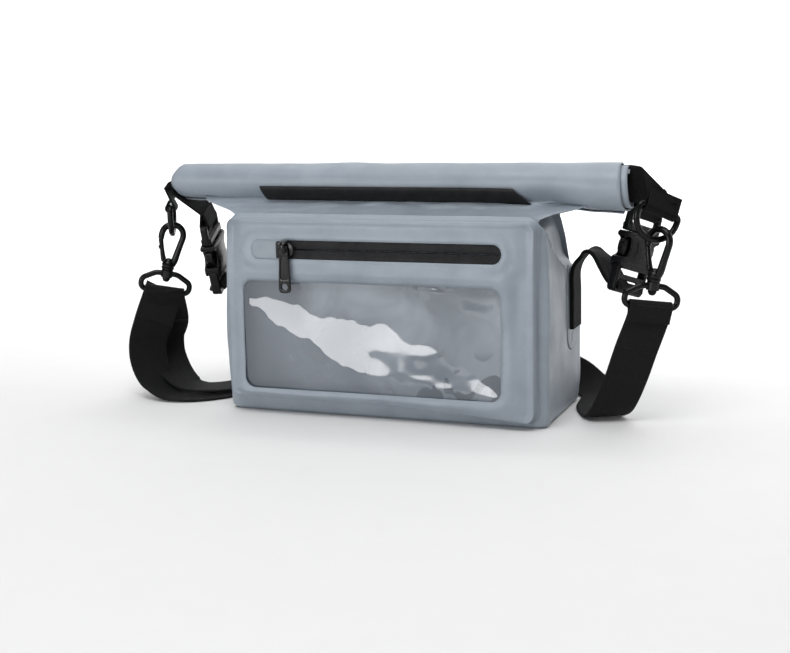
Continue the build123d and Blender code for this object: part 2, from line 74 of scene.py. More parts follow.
def make_camera():
    azimuth, elevation, roll = (radians(a) for a in (CAM_AZIMUTH, CAM_ELEVATION, CAM_ROLL))
    forward = Vector((-sin(azimuth) * cos(elevation), cos(azimuth) * cos(elevation), -sin(elevation)))
    level = forward.cross(Vector((0, 0, 1))).normalized()
    upright = level.cross(forward)
    right = level * cos(roll) + upright * sin(roll)
    up = upright * cos(roll) - level * sin(roll)
    data = bpy.data.cameras.new("camera")
    data.lens = LENS
    data.sensor_width = 36
    data.clip_end = 20
    camera = bpy.data.objects.new("camera", data)
    turn = Matrix((right, up, -forward)).transposed().to_4x4()
    camera.matrix_world = Matrix.Translation(Vector(CAM_AT) * MM) @ turn
    scene.collection.objects.link(camera)
    scene.camera = camera


make_camera()


# -------- mesh helpers (points in millimetres)
def add_mesh(name, points, faces, made, body="bag"):
    """A new object from points in millimetres; it rides on a body, unless no body is given."""
    mesh = bpy.data.meshes.new(name)
    mesh.from_pydata([Vector(p) * MM for p in points], [], faces)
    mesh.materials.append(made)
    mesh.polygons.foreach_set("use_smooth", [True] * len(mesh.polygons))
    mesh.update()
    piece = bpy.data.objects.new(name, mesh)
    scene.collection.objects.link(piece)
    if body:
        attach(piece, body)
    return piece


def tidy_normals(piece):
    """Weld coincident points and turn every face outwards."""
    bm = bmesh.new()
    bm.from_mesh(piece.data)
    bmesh.ops.remove_doubles(bm, verts=bm.verts, dist=0.00002)
    bmesh.ops.recalc_face_normals(bm, faces=bm.faces)
    bm.to_mesh(piece.data)
    bm.free()
    return piece


def shell(name, points, faces, made, slot, nodes, thickness, offset=-1.0):
    """A sheet given its thickness, which takes the place of one or more CAD nodes."""
    piece = tidy_normals(add_mesh(name, points, faces, made))
    wall = piece.modifiers.new("thickness", "SOLIDIFY")
    wall.thickness = thickness * MM
    wall.offset = offset
    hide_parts(*nodes)
    return piece


def loft(rows, closed=False):
    """Points and quads through rows of equally many points; closed joins each row's ends."""
    count = len(rows[0])
    points = [p for row in rows for p in row]
    faces = []
    for i in range(len(rows) - 1):
        for j in range(count if closed else count - 1):
            k = (j + 1) % count
            faces.append((i * count + j, i * count + k, (i + 1) * count + k, (i + 1) * count + j))
    return points, faces


def spline_at(points, t):
    """Catmull-Rom through points at t from 0 to len(points) - 1."""
    i = min(int(t), len(points) - 2)
    f = t - i
    p1, p2 = points[i], points[i + 1]
    p0 = points[i - 1] if i > 0 else p1 * 2 - p2
    p3 = points[i + 2] if i + 2 < len(points) else p2 * 2 - p1
    square = (p0 * 2 - p1 * 5 + p2 * 4 - p3) * f * f
    return 0.5 * (p1 * 2 + (p2 - p0) * f + square + (p1 * 3 - p0 - p2 * 3 + p3) * f * f * f)


def heading(points, t):
    """The direction of that line at t."""
    ends = (spline_at(points, place) for place in (min(t + 0.02, len(points) - 1), max(t - 0.02, 0)))
    return (next(ends) - next(ends)).normalized()


def fade(a, b, x):
    """Smoothly from 0 at a to 1 at b, whichever of them is larger."""
    t = min(max((x - a) / (b - a), 0.0), 1.0)
    return t * t * (3 - 2 * t)


def lerp(a, b, t):
    return a + (b - a) * t


def mix(first, second, t):
    """The same, for each pair of numbers in two rows."""
    return tuple(lerp(a, b, t) for a, b in zip(first, second))


def span(a, b, steps):
    """Numbers from a to b in equal steps."""
    return [lerp(a, b, i / steps) for i in range(steps + 1)]


def share(a, b, x):
    return (x - a) / (b - a)


def along(table, x, ease=fade):
    """The values beside x in a table of (x, value, ...) rows."""
    if x <= table[0][0]:
        return table[0][1:]
    for low, high in zip(table, table[1:]):
        if x <= high[0]:
            return mix(low[1:], high[1:], ease(low[0], high[0], x))
    return table[-1][1:]


def straight(table, x):
    """The same, in straight lines between the rows."""
    return along(table, x, share)


def ripple(x, y, z, size, seed=0.0):
    """Smooth noise from -1 to 1, size in millimetres."""
    return noise.noise(Vector((x / size + seed, y / size - seed, z / size + 2 * seed)))


def bell(x, wide):
    """1 at 0, falling off smoothly to both sides."""
    return exp(-(x / wide) ** 2)


def bump_at(x, z, x0, z0, wide, tall):
    """The same round a point on a wall."""
    return bell(x - x0, wide) * bell(z - z0, tall)


def rounded_loop(x0, x1, z0, z1, r, inset=0.0, corner=10, spacing=4.0):
    """A rounded rectangle as a loop of (x, z), the same count at any inset."""
    centres = ((x1 - r, z0 + r), (x1 - r, z1 - r), (x0 + r, z1 - r), (x0 + r, z0 + r))
    reach = max(r - inset, 0.05)
    arcs = []
    for quarter, (cx, cz) in enumerate(centres):
        turns = [radians(90 * (quarter - 1 + k / corner)) for k in range(corner + 1)]
        arcs.append([(cx + reach * cos(a), cz + reach * sin(a)) for a in turns])
    loop = []
    for i, arc in enumerate(arcs):
        loop += arc
        begin, end = arc[-1], arcs[(i + 1) % 4][0]
        side = x1 - x0 if i % 2 else z1 - z0
        steps = max(int((side - 2 * r) / spacing), 1)
        loop += [mix(begin, end, k / steps) for k in range(1, steps)]
    return loop


def inside(point, x0, x1, z0, z1, r, grow=0.0):
    """How far a point is inside a rounded rectangle (negative outside)."""
    cx, cz = (x0 + x1) / 2, (z0 + z1) / 2
    qx = abs(point[0] - cx) - ((x1 - x0) / 2 + grow - r)
    qz = abs(point[1] - cz) - ((z1 - z0) / 2 + grow - r)
    outer = sqrt(max(qx, 0) ** 2 + max(qz, 0) ** 2)
    return r - outer - min(max(qx, qz), 0)


def fill_outline(outline, holes, keep, step):
    """Triangles filling an outline with holes. keep(x, z) says where inner points may lie."""
    points, edges = [], []
    for loop in [outline] + holes:
        start, count = len(points), len(loop)
        points += [Vector(p) for p in loop]
        edges += [(start + i, start + (i + 1) % count) for i in range(count)]
    xs, zs = zip(*outline)
    row, z = 0, min(zs)
    while z < max(zs):
        x = min(xs) + (step / 2 if row % 2 else 0)
        while x < max(xs):
            if keep(x, z) > step * 0.45:
                points.append(Vector((x, z)))
            x += step
        z += step * 0.866
        row += 1
    verts, _, faces, _, _, _ = delaunay_2d_cdt(points, edges, [], 0, 0.0001)
    kept = [tuple(f) for f in faces if keep(*sum((verts[i] for i in f), Vector((0, 0))) / len(f)) > 0]
    return [tuple(v) for v in verts], kept


def soft_loop(corners, r, steps=5):
    """A closed outline through corners, each rounded off with about radius r."""
    loop = []
    for i, corner in enumerate(corners):
        here = Vector(corner)
        before, after = (Vector(c) - here for c in (corners[i - 1], corners[(i + 1) % len(corners)]))
        start = here + before.normalized() * min(r, before.length * 0.48)
        end = here + after.normalized() * min(r, after.length * 0.48)
        for k in range(steps + 1):
            t = k / steps
            loop.append(tuple(start * (1 - t) ** 2 + here * (2 * t * (1 - t)) + end * t * t))
    return loop


def mirrored(half):
    """A closed outline from the corners on its +X half, from top to bottom."""
    return half + [(-x, y) for x, y in reversed(half)]


def disc(x, y, r, count=20):
    """A circle as a loop of points."""
    return [(x + r * cos(2 * pi * k / count), y + r * sin(2 * pi * k / count)) for k in range(count)]


def within(point, loop):
    """Whether a point is inside a closed loop."""
    found = False
    for (x0, y0), (x1, y1) in zip(loop, loop[1:] + loop[:1]):
        if (y0 > point[1]) != (y1 > point[1]) and point[0] < x0 + (point[1] - y0) / (y1 - y0) * (x1 - x0):
            found = not found
    return found


def joined(shapes):
    """Several (points, faces) shapes as one."""
    points, faces = [], []
    for more, quads in shapes:
        faces += [tuple(len(points) + i for i in f) for f in quads]
        points += more
    return points, faces


def slab(outline, holes, low, high, r):
    """A moulded plate between two heights with rounded edges, as points and faces in its own frame."""
    shapes, lips = [], []
    rim = [(r * (1 - sin(radians(a))), r * (1 - cos(radians(a)))) for a in (0, 30, 60, 90)]
    levels = [(inset, low + lift) for inset, lift in rim]
    levels += [(inset, high - lift) for inset, lift in rim[::-1]]
    for i, loop in enumerate([outline] + holes):
        area = sum(a[0] * b[1] - b[0] * a[1] for a, b in zip(loop, loop[1:] + loop[:1]))
        if (area > 0) == (i > 0):
            loop = loop[::-1]
        outward = []
        for before, after in zip(loop[-1:] + loop[:-1], loop[1:] + loop[:1]):
            step = Vector((after[0] - before[0], after[1] - before[1]))
            outward.append(Vector((step.y, -step.x)).normalized())
        rows = []
        for inset, z in levels:
            rows.append([(p[0] - n.x * inset, p[1] - n.y * inset, z) for p, n in zip(loop, outward)])
        shapes.append(loft(rows, closed=True))
        lips.append([p[:2] for p in rows[0]])

    def solid(*point):
        return within(point, lips[0]) and not any(within(point, lip) for lip in lips[1:])

    flat, caps = fill_outline(lips[0], lips[1:], solid, 1000)
    return joined(shapes + [([(*p, height) for p in flat], caps) for height in (low, high)])


def rod(path, radii, flat=1.0, sides=14, per=6, up=(0, 0, 1)):
    """A rod with rounded ends through points; radii is one radius or one for each point."""
    centres = [Vector(p) for p in path]
    if isinstance(radii, float):
        radii = [radii] * len(path)
    last = len(centres) - 1
    cap = [(sin(radians(a)), cos(radians(a))) for a in (28, 55, 80)]
    rows = []
    for n in range(last * per + 1):
        t = n / per
        c = spline_at(centres, t)
        ahead = heading(centres, t)
        side = ahead.cross(Vector(up)).normalized()
        top = side.cross(ahead)
        k = min(int(t), len(radii) - 2)
        r = lerp(radii[k], radii[k + 1], t - k)
        ends = [(-shift, shrink) for shift, shrink in reversed(cap)] if n == 0 else []
        for shift, shrink in ends + [(0, 1)] + (cap if t == last else []):
            turn = [2 * pi * j / sides for j in range(sides)]
            middle = c + ahead * (shift * r * 0.6)
            rows.append([middle + (side * cos(a) + top * (sin(a) * flat)) * (r * shrink) for a in turn])
    points, faces = loft(rows, closed=True)
    faces += [tuple(range(sides)), tuple(range(len(points) - sides, len(points)))]
    return [tuple(p) for p in points], faces


def moulding(name, shapes, place, made, body, node):
    """One object from several (points, faces) shapes; place turns their frame's points into the bag's."""
    points, faces = joined(shapes)
    piece = tidy_normals(add_mesh(name, [place(p) for p in points], faces, made, body))
    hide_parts(node)


# -------- materials
SPECULAR = "Specular IOR Level"
# the film's two colours: the darker one is both clearer film and the painted shade of its left, lower and
# lower right parts
FILM_CLEAR_AND_SHADE = (0.085, 0.105, 0.135)
FILM_HAZY = (0.38, 0.42, 0.475)


class Graph:
    """A new material, and short-hand for adding nodes to it."""

    def __init__(self, name, colour, roughness, more=()):
        self.made = bpy.data.materials.new(name)
        self.made.use_nodes = True
        self.tree = self.made.node_tree
        self.inputs = self.tree.nodes["Principled BSDF"].inputs
        for key, value in (("Base Color", (*colour, 1)), ("Roughness", roughness), *more):
            self.inputs[key].default_value = value
        self.place = self.add("ShaderNodeTexCoord").outputs["Object"]

    def add(self, kind, **settings):
        node = self.tree.nodes.new(kind)
        for key, value in settings.items():
            if key in node.inputs:
                node.inputs[key].default_value = value
            else:
                setattr(node, key, value)
        return node

    def link(self, out, into):
        """Into a socket, or into the shader's input of that name."""
        self.tree.links.new(out, self.inputs[into] if isinstance(into, str) else into)

    def axes(self, where):
        node = self.add("ShaderNodeSeparateXYZ")
        self.link(where, node.inputs["Vector"])
        return [node.outputs[axis] for axis in "XYZ"]

    def noise(self, scale, detail=4.0, rough=0.5, warp=0.0):
        node = self.add("ShaderNodeTexNoise", Scale=scale, Detail=detail, Roughness=rough, Distortion=warp)
        self.link(self.place, node.inputs["Vector"])
        return node.outputs["Fac"]

    def ramp(self, value, low, high, dark, light):
        node = self.add("ShaderNodeMapRange")
        self.link(value, node.inputs["Value"])
        for key, number in (("From Min", low), ("From Max", high), ("To Min", dark), ("To Max", light)):
            node.inputs[key].default_value = number
        return node.outputs["Result"]

    def colour(self, factor, first, second):
        """The base colour, between two colours."""
        node = self.add("ShaderNodeMix", data_type="RGBA")
        self.link(factor, node.inputs["Factor"])
        node.inputs["A"].default_value = (*first, 1)
        node.inputs["B"].default_value = (*second, 1)
        self.link(node.outputs["Result"], "Base Color")

    def maths(self, operation, first, second=0):
        node = self.add("ShaderNodeMath", operation=operation)
        for socket, value in zip(node.inputs, (first, second)):
            if isinstance(value, (int, float)):
                socket.default_value = value
            else:
                self.link(value, socket)
        return node.outputs["Value"]

    def bump(self, height, strength, distance_mm, after=None):
        node = self.add("ShaderNodeBump", Strength=strength, Distance=distance_mm * MM)
        self.link(height, node.inputs["Height"])
        if after:
            self.link(after, node.inputs["Normal"])
        return node.outputs["Normal"]


def coated_cloth(name, light, dark):
    """Satin coated cloth: faint mottling, a fine grain and soft small creases."""
    g = Graph(name, light, 0.42, [(SPECULAR, 0.5), ("Sheen Weight", 0.06)])
    g.colour(g.ramp(g.noise(38, 5, 0.6), 0.35, 0.7, 0, 1), light, dark)
    g.link(g.ramp(g.noise(90, 3), 0.3, 0.7, 0.36, 0.5), "Roughness")
    grain = g.bump(g.noise(2600, 2), 0.12, 0.10)
    g.link(g.bump(g.noise(55, 3, 0.55, 0.6), 0.22, 1.0, grain), "Normal")
    return g.made


def webbing(name, colour, pitch):
    """Woven webbing: herringbone ribs along the tape, from its own length and width coordinates."""
    g = Graph(name, colour, 0.8, [("Sheen Weight", 0.03), ("Sheen Roughness", 0.5), (SPECULAR, 0.12)])
    length, width, _ = g.axes(g.add("ShaderNodeUVMap", uv_map="UVMap").outputs["UV"])
    turn = 2 * pi / (pitch * MM)
    slanted = g.maths("ADD", length, g.maths("PINGPONG", width, 2.6 * MM))
    ribs = g.maths("SINE", g.maths("MULTIPLY", slanted, turn))
    yarns = g.maths("SINE", g.maths("MULTIPLY", width, turn * 1.7))
    weave = g.maths("ADD", g.maths("MULTIPLY", ribs, 0.6), g.maths("MULTIPLY", yarns, 0.5))
    fuzz = g.noise(900, 3)
    tone = g.maths("ADD", g.ramp(weave, -1.1, 1.1, 0.0, 0.7), g.maths("MULTIPLY", fuzz, 0.3))
    g.colour(tone, [c * 0.35 for c in colour], [c * 1.9 for c in colour])
    g.link(g.bump(weave, 0.55, 0.22, g.bump(fuzz, 0.25, 0.15)), "Normal")
    return g.made


def moulded(name, colour, roughness, coat=0.0):
    """Moulded plastic: fine spark texture, handling marks in the gloss, and a lighter colour on convex edges.
    """
    g = Graph(name, colour, roughness, [(SPECULAR, 0.24), ("Coat Weight", coat), ("Coat Roughness", 0.15)])
    g.link(g.ramp(g.noise(160, 5, 0.65, 0.4), 0.3, 0.75, roughness - 0.07, roughness + 0.12), "Roughness")
    # the colour is lighter on convex edges, found from the mesh's pointiness
    edge = g.add("ShaderNodeNewGeometry").outputs["Pointiness"]
    g.colour(g.ramp(edge, 0.54, 0.68, 0, 1), colour, [c * 3.0 + 0.003 for c in colour])
    spark = g.bump(g.noise(2200, 2), 0.10, 0.08)
    g.link(g.bump(g.noise(130, 2), 0.10, 0.5, spark), "Normal")
    return g.made


def clear_film():
    """Glossy clear film with a faint tint and random haze; painted shade darkens it towards the left, towards
    the bottom and in patches low on the right, so it is lighter to the upper right; the pocket's inside shows
    through.
    """
    coat = [("Coat Weight", 1.0), ("Coat Roughness", 0.02)]
    g = Graph("clear_film", FILM_HAZY, 0.05, [(SPECULAR, 1.0)] + coat)
    x, _, z = g.axes(g.place)
    haze = g.ramp(g.noise(18, 3, 0.5, 0.8), 0.35, 0.65, 0.35, 1.0)
    # painted shade: the film's colour darkens towards its left edge and towards its bottom
    painted_shade_left = g.ramp(x, -0.101, -0.035, 0.0, 1.0)
    painted_shade_low = g.ramp(z, 0.020, 0.075, 0.45, 1.0)
    tone = g.maths("MULTIPLY", g.maths("MULTIPLY", haze, painted_shade_left), painted_shade_low)
    # painted shade: hard-edged darker patches low on the film's right side
    painted_shade_patch = g.ramp(g.noise(34, 2, 0.4, 1.5), 0.60, 0.63, 0.0, 0.8)
    right_low = g.maths("MULTIPLY", g.ramp(x, 0.02, 0.05, 0, 1), g.ramp(z, 0.055, 0.040, 0, 1))
    g.colour(g.maths("SUBTRACT", tone, g.maths("MULTIPLY", painted_shade_patch, right_low)), FILM_CLEAR_AND_SHADE, FILM_HAZY)
    g.link(g.ramp(g.noise(60, 4), 0.3, 0.7, 0.03, 0.09), "Roughness")
    g.link(g.bump(g.noise(45, 2, 0.4, 0.8), 0.05, 0.8), "Normal")
    g.link(g.ramp(g.noise(16, 2), 0.3, 0.7, 0.6, 0.72), "Alpha")
    return g.made


def zip_tape():
    """Rubber-coated zip tape; the teeth under it show as fine ribs beside the middle."""
    g = Graph("zip_tape", (0.008, 0.008, 0.009), 0.5, [(SPECULAR, 0.22)])
    x, _, z = g.axes(g.place)
    ribs = g.maths("SINE", g.maths("MULTIPLY", x, 2 * pi / (1.25 * MM)))
    off_middle = g.maths("ABSOLUTE", g.maths("SUBTRACT", z, ZIP_Z * MM))
    near = g.ramp(off_middle, 1.8 * MM, 2.6 * MM, 1.0, 0.12)
    grain = g.bump(g.noise(1800, 2), 0.25, 0.1)
    g.link(g.bump(g.maths("MULTIPLY", ribs, near), 0.5, 0.22, grain), "Normal")
    g.link(g.ramp(g.noise(200, 4), 0.3, 0.7, 0.42, 0.6), "Roughness")
    g.colour(g.ramp(g.noise(120, 3), 0.3, 0.7, 0, 1), (0.006, 0.006, 0.007), (0.013, 0.013, 0.0145))
    return g.made


ZIP_Z = 121.0
CLOTH = coated_cloth("coated_cloth", (0.268, 0.307, 0.352), (0.222, 0.257, 0.298))
PATCH = coated_cloth("coated_cloth_patch", (0.222, 0.260, 0.296), (0.196, 0.232, 0.266))
STRAP_WEB = webbing("strap_webbing", (0.0072, 0.0072, 0.0076), 1.5)
TAB_WEB = webbing("tab_webbing", (0.005, 0.005, 0.0053), 1.2)
PLASTIC = moulded("black_plastic", (0.0025, 0.0025, 0.0028), 0.3)
GLOSS = moulded("gloss_plastic", (0.0022, 0.0022, 0.0024), 0.22)
STEEL = moulded("black_steel", (0.003, 0.003, 0.0034), 0.2, 0.3)
FILM = clear_film()
TAPE = zip_tape()


# -------- bag body and neck
# height, half width, front, back, corner radius
BODY_RINGS = [
    (0.9, 104, -38, 38, 8), (0.1, 113, -45, 45, 8), (0.5, 117.5, -48.6, 48.4, 7),
    (2.2, 119.4, -49.9, 49.6, 6), (6, 119.8, -50.3, 50, 5), (20, 120.2, -51, 51, 5),
    (45, 120.6, -51.5, 51.5, 5), (70, 120.6, -51.5, 49.5, 5), (100, 120.2, -51, 36.5, 5),
    (125, 119, -50.5, 26, 5), (136, 117.6, -50, 21, 4.5), (140.5, 117.0, -48.5, 18, 4),
    (143, 119.0, -43, 12, 3.2), (145.5, 126, -36.5, 3.5, 2.6), (148.5, 137, -31, -5, 2.2),
    (151.5, 147, -27, -11, 1.8), (155, 150, -24, -14, 1.5),
]
ROWS_UP = 110
# the fold of the side wall: y, height
SIDE_FOLD = [(-52, 143), (-44, 134), (-30, 124), (-10, 112), (10, 101), (30, 88), (52, 74)]
PATCH_OVAL = (4.5, 39.5, 43.0, 105.0, 15.0)  # the side patch: front, back, low, high, corner radius


def body_ring(z, half_w, front, back, r):
    """Points round the body at one height, starting at the front's left end; the fold's side is finer."""
    left, right = -half_w, half_w
    loop = []
    for begin, end, count, ease, centre, start in (
        ((left + r, front), (right - r, front), 90, lambda t: t, (right - r, front + r), -90),
        ((right, front + r), (right, back - r), 44, lambda t: t ** 1.6, (right - r, back - r), 0),
        ((right - r, back), (left + r, back), 90, lambda t: t, (left + r, back - r), 90),
        ((left, back - r), (left, front + r), 44, lambda t: 1 - (1 - t) ** 1.6, (left + r, front + r), 180),
    ):
        loop += [(*mix(begin, end, ease(k / count)), z) for k in range(count)]
        turns = [radians(start + 15 * k) for k in range(6)]
        loop += [(centre[0] + r * cos(a), centre[1] + r * sin(a), z) for a in turns]
    return loop


def shape_body(point, half_w, front, back):
    """Wrinkles, the sagging walls, weld ridges at the edges and the side folds below the roll."""
    x, y, z = point
    side = 1 if x > 0 else -1
    wall = fade(half_w - 4, half_w - 0.5, abs(x))
    middle = 1 - fade(0.55, 1.0, abs(x) / half_w)
    if wall > 0:
        fold = straight(SIDE_FOLD, y)[0]
        above = z - fold
        quiet = 1 - fade(-8, 3, inside((y, z), *PATCH_OVAL))
        dent = 9.0 * (1 - exp(-max(above, 0) / 7)) * fade(149, 141, z) * quiet
        crest = 1.6 * bell(above, 1.8) * quiet
        centre = (front + back) / 2
        pinch = 1 - min(abs(y - centre) / max((back - front) / 2, 1), 1)
        tuck = 26 * pinch * fade(132, 146, z) * (1 - fade(150, 154, z) * 0.5)
        swell = 1.6 * sin(pi * min(max(z / 130, 0), 1)) * pinch * quiet
        soft = (ripple(x, y, z, 34, 3) * 1.5 + ripple(x, y, z, 13, 5) * 0.4) * quiet
        x += side * wall * (crest - dent - tuck + swell + soft * fade(0, 20, z))
        ridge = 1.2 * fade(8.4, 7.2, y - front) - 0.9 * bell(y - front - 8.6, 0.8)
        x += side * wall * ridge * fade(140, 132, z)
        seam = bell(y - lerp(back - 9, back - 4, z / 141), 0.9)
        x += side * wall * seam * 0.8 * fade(138, 128, z) * quiet
    face = 1 - wall
    if y < (front + back) / 2:
        lift = fade(139, 143, z)
        creases = ripple(x * 0.6, 0, z * 3.2, 24, 7) * 3.2 + ripple(x * 0.7, 0, z * 3.0, 9, 2) * 1.2
        creases += 4.0 * fade(96, 124, x) * sin((z - 141) * 0.62 - (x - 96) * 0.075)
        y -= face * lift * creases * fade(155, 150, z)
        z += face * lift * ripple(x, 3, 0, 20, 9) * 1.1
    else:
        y += face * (2.0 * middle * sin(pi * min(max(z / 75, 0), 1)) + ripple(x, 0, z, 30, 11) * 1.4)
        seam = bell(z - 70, 1.3)
        y += face * seam * 0.8
    return x, y, max(z, 0.05)


def make_body():
    rows = []
    last = len(BODY_RINGS) - 1
    for i in range(ROWS_UP + 1):
        t = i / ROWS_UP * last
        k = min(int(t), last - 1)
        z, half_w, front, back, r = mix(BODY_RINGS[k], BODY_RINGS[k + 1], t - k)
        ring = body_ring(z, half_w, front, back, r)
        rows.append([shape_body(p, half_w, front, back) if i > 6 else p for p in ring])
    points, faces = loft(rows, closed=True)
    middle = len(points)
    points.append((0, 0, 1.2))
    count = len(rows[0])
    faces += [(middle, (j + 1) % count, j) for j in range(count)]
    body = tidy_normals(add_mesh("bag_shell", points, faces, CLOTH))
    smooth = body.modifiers.new("smooth", "SUBSURF")
    smooth.levels = smooth.render_levels = 1
    walls = [which + "_panel" for which in ("front", "rear", "left_side", "right_side", "base")]
    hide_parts(*walls, "neck")


make_body()


def wall_x(side, y, z):
    """Where the finished side wall is at (y, z)."""
    half_w, front, back, _ = straight(BODY_RINGS[2:], z)
    return shape_body((side * half_w, y, z), half_w, front, back)[0]


def make_side_patch(side):
    """The oval patch welded to a side wall, with the two short bars of its weld low down."""
    def edge(y, z):
        return inside((y, z), *PATCH_OVAL)

    def height(y, z):
        bars = sum(fade(2.2, 1.2, abs(z - at)) for at in (51.0, 54.8))
        bars *= fade(5.5, 4.5, abs(y - 22))
        weld = 0.35 * bell(edge(y, z) - 2.6, 0.6)
        return 0.15 + 0.75 * fade(0, 0.9, edge(y, z)) - weld + 0.55 * bars

    outline = rounded_loop(*PATCH_OVAL, corner=14, spacing=2)
    flat, faces = fill_outline(outline, [], edge, 1.5)
    points = [(wall_x(side, y, z) + side * height(y, z), y, z) for y, z in flat]
    name = "left" if side < 0 else "right"
    shell(name + "_weld_patch", points, faces, PATCH, "trim_patch", [name + "_side_patch"], 0.8, -side)


make_side_patch(-1)
make_side_patch(1)


# -------- front pocket
POCKET = (-113.0, 114.0, 8.5, 142.5, 7.0)  # left, right, low, high, corner radius
POCKET_FRONT = -64.0
POCKET_EDGE = 4.2  # radius of the pocket's soft front edge
LOW_EDGE = [(-113, 4.5), (10, 4.0), (70, 0.5), (113, -3.0)]  # x, how far the lower edge is raised
WINDOW = (-101.0, 92.0, 20.0, 98.0, 8.0)
ZIP_SLOT = (-69.0, 93.0, ZIP_Z - 6.6, ZIP_Z + 6.6, 6.3)
WELD = (-101.0, 98.0, 107.5, 134.0, 13.0)  # outline of the zip's welded panel
GARAGE = (-92.0, -60.0, ZIP_Z - 7.4, ZIP_Z + 7.4, 6.0)  # the plate beyond the zip's left end


def droop(x, z):
    """Height of a pocket point after the lower edge's uneven hang."""
    return z + straight(LOW_EDGE, x)[0] * fade(19.0, 8.5, z)


def pocket_height(x, z):
    """How far the pocket's face stands out from its nominal plane at (x, z)."""
    edge = inside((x, z), *POCKET)
    rise = -1.4 * fade(26, 0, edge) - 3.6 * fade(97, 116, x) ** 1.5
    rise -= 6.0 * fade(-97, -117, x) ** 1.4 + 5.0 * fade(20, 2, z) ** 1.3
    rise -= 2.6 * (max(z - 100, 0) / 42) ** 2
    weld = inside((x, z), *WELD)
    step = 0.75 * fade(-0.9, 0.5, weld)
    groove = -0.55 * bell(weld + 1.3, 0.8)
    garage = inside((x, z), *GARAGE)
    groove -= 0.6 * bell(garage + 0.4, 0.5) * fade(-69, -72, x)
    corner_weld = ((x - 113) + (z - 139)) / 1.414 + 9
    groove -= 0.5 * bell(corner_weld, 0.7) * (1 - fade(6, 9, abs((x - 113) - (z - 139))))
    rim = inside((x, z), *WINDOW)
    frame_edge = -0.9 * fade(-5, 0, rim) + 0.55 * bell(rim + 6.5, 2.0)
    sag = 1.6 * bump_at(x, z, 10, 106, 70, 9) - 1.3 * bump_at(x, z, 104, 75, 9, 45)
    soft = ripple(x, 0, z, 42, 1) * 1.5 + ripple(x, 0, z, 16, 4) * 0.5
    pull = 1.6 * bump_at(x, z, 96, 112, 7, 16) - 1.5 * bump_at(x, z, 104, 100, 5, 20)
    low = 1.2 * bump_at(x, z, -60, 13, 50, 5) + 1.0 * bump_at(x, z, 60, 13, 40, 4)
    free = fade(0, 14, edge) * fade(7, 17, abs(z - ZIP_Z))
    return rise + step + groove + frame_edge + (sag + soft + pull) * free + low


def make_pocket():
    """The pocket's face, filled round its two openings, and the soft edge and walls behind it."""
    inner = POCKET_EDGE
    outline = rounded_loop(*POCKET, inner)
    window = rounded_loop(*WINDOW)
    slot = rounded_loop(*ZIP_SLOT, spacing=3)

    def keep(x, z):
        from_edge = inside((x, z), *POCKET) - inner
        from_window = -inside((x, z), *WINDOW)
        return min(from_edge, from_window, -inside((x, z), *ZIP_SLOT))

    flat, faces = fill_outline(outline, [window, slot], keep, 2.6)
    points = [(x, POCKET_FRONT - pocket_height(x, z), droop(x, z)) for x, z in flat]
    rows = []
    turns = 7
    for k in range(turns + 1):
        a = radians(90 * k / turns)
        front = POCKET_FRONT + inner * (1 - cos(a))
        loop = rounded_loop(*POCKET, inner * (1 - sin(a)))
        rows.append([(x, front - pocket_height(x, z) * (1 - k / turns), droop(x, z)) for x, z in loop])
    for y, grow in ((-53.5, 0.0), (-51.2, 0.6), (-50.4, 2.6), (-49.5, 2.8)):
        loop = rounded_loop(*POCKET, -grow)
        rows.append([
            (x + ripple(x, y, z, 15) * 0.3, y, droop(x, z) + ripple(x, y, z, 15, 2) * 0.3) for x, z in loop
        ])
    shape = joined([(points, faces), loft(rows, closed=True)])
    shell("pocket_shell", *shape, CLOTH, "coated_fabric", ["pocket_panel", "pocket_gusset"], 0.9)


make_pocket()


def make_garage():
    """The welded plate at the zip's closed end, flush in its groove."""
    left = [p for p in rounded_loop(*GARAGE, 0.3, spacing=2) if p[0] < -72]
    turns = [radians(-72 + 14.4 * k) for k in range(11)]
    nose = [(ZIP_SLOT[0] - 0.5 + ZIP_SLOT[4] * (1 - cos(a)), ZIP_Z + 7.1 * sin(a)) for a in turns]

    def keep(x, z):
        return min(inside((x, z), *GARAGE), -0.5 - inside((x, z), *ZIP_SLOT))

    flat, faces = fill_outline(left + nose, [], keep, 1.6)
    points = [(x, POCKET_FRONT - pocket_height(x, z) - 0.25, z) for x, z in flat]
    shell("zip_garage_plate", points, faces, PATCH, "trim_patch", ["zipper_garage"], 0.6)


make_garage()


# -------- window film
# the long fold that crosses the film: x, height of its middle, half its width
FILM_FOLD = [
    (-104, 86, 3), (-80, 77, 7), (-50, 65, 11), (-25, 54, 18),
    (10, 50, 17), (40, 42, 12), (66, 33, 9), (95, 20, 3),
]
FOLD_SLOPE = 0.13


def film_height(x, z):
    """The crumpled film, relative to its plane: a long slanted facet between two broken creases."""
    middle, half = straight(FILM_FOLD, x)
    upper = half + ripple(x, 1, z * 0.3, 16, 3) * 5 + ripple(x, 1, z * 0.3, 6, 3) * 1.6
    lower = half + ripple(x, 2, z * 0.3, 18, 7) * 6 + ripple(x, 2, z * 0.3, 5, 7) * 1.6
    s = z - middle
    if s > upper:
        fold = -FOLD_SLOPE * upper * exp(-(s - upper) / 26)
    elif s < -lower:
        fold = FOLD_SLOPE * lower * exp(-(-lower - s) / 20)
    else:
        fold = -FOLD_SLOPE * s
    corner = -1.6 * fade(58, 96, x + (z - 62) * 0.6) * fade(55, 95, z)
    soft = ripple(x * 0.7, 5, z, 55, 2) * 1.2 + ripple(x, 2, z, 17, 3) * 0.30
    edge = inside((x, z), *WINDOW, 2)
    return (fold + corner + soft) * fade(0, 9, edge)


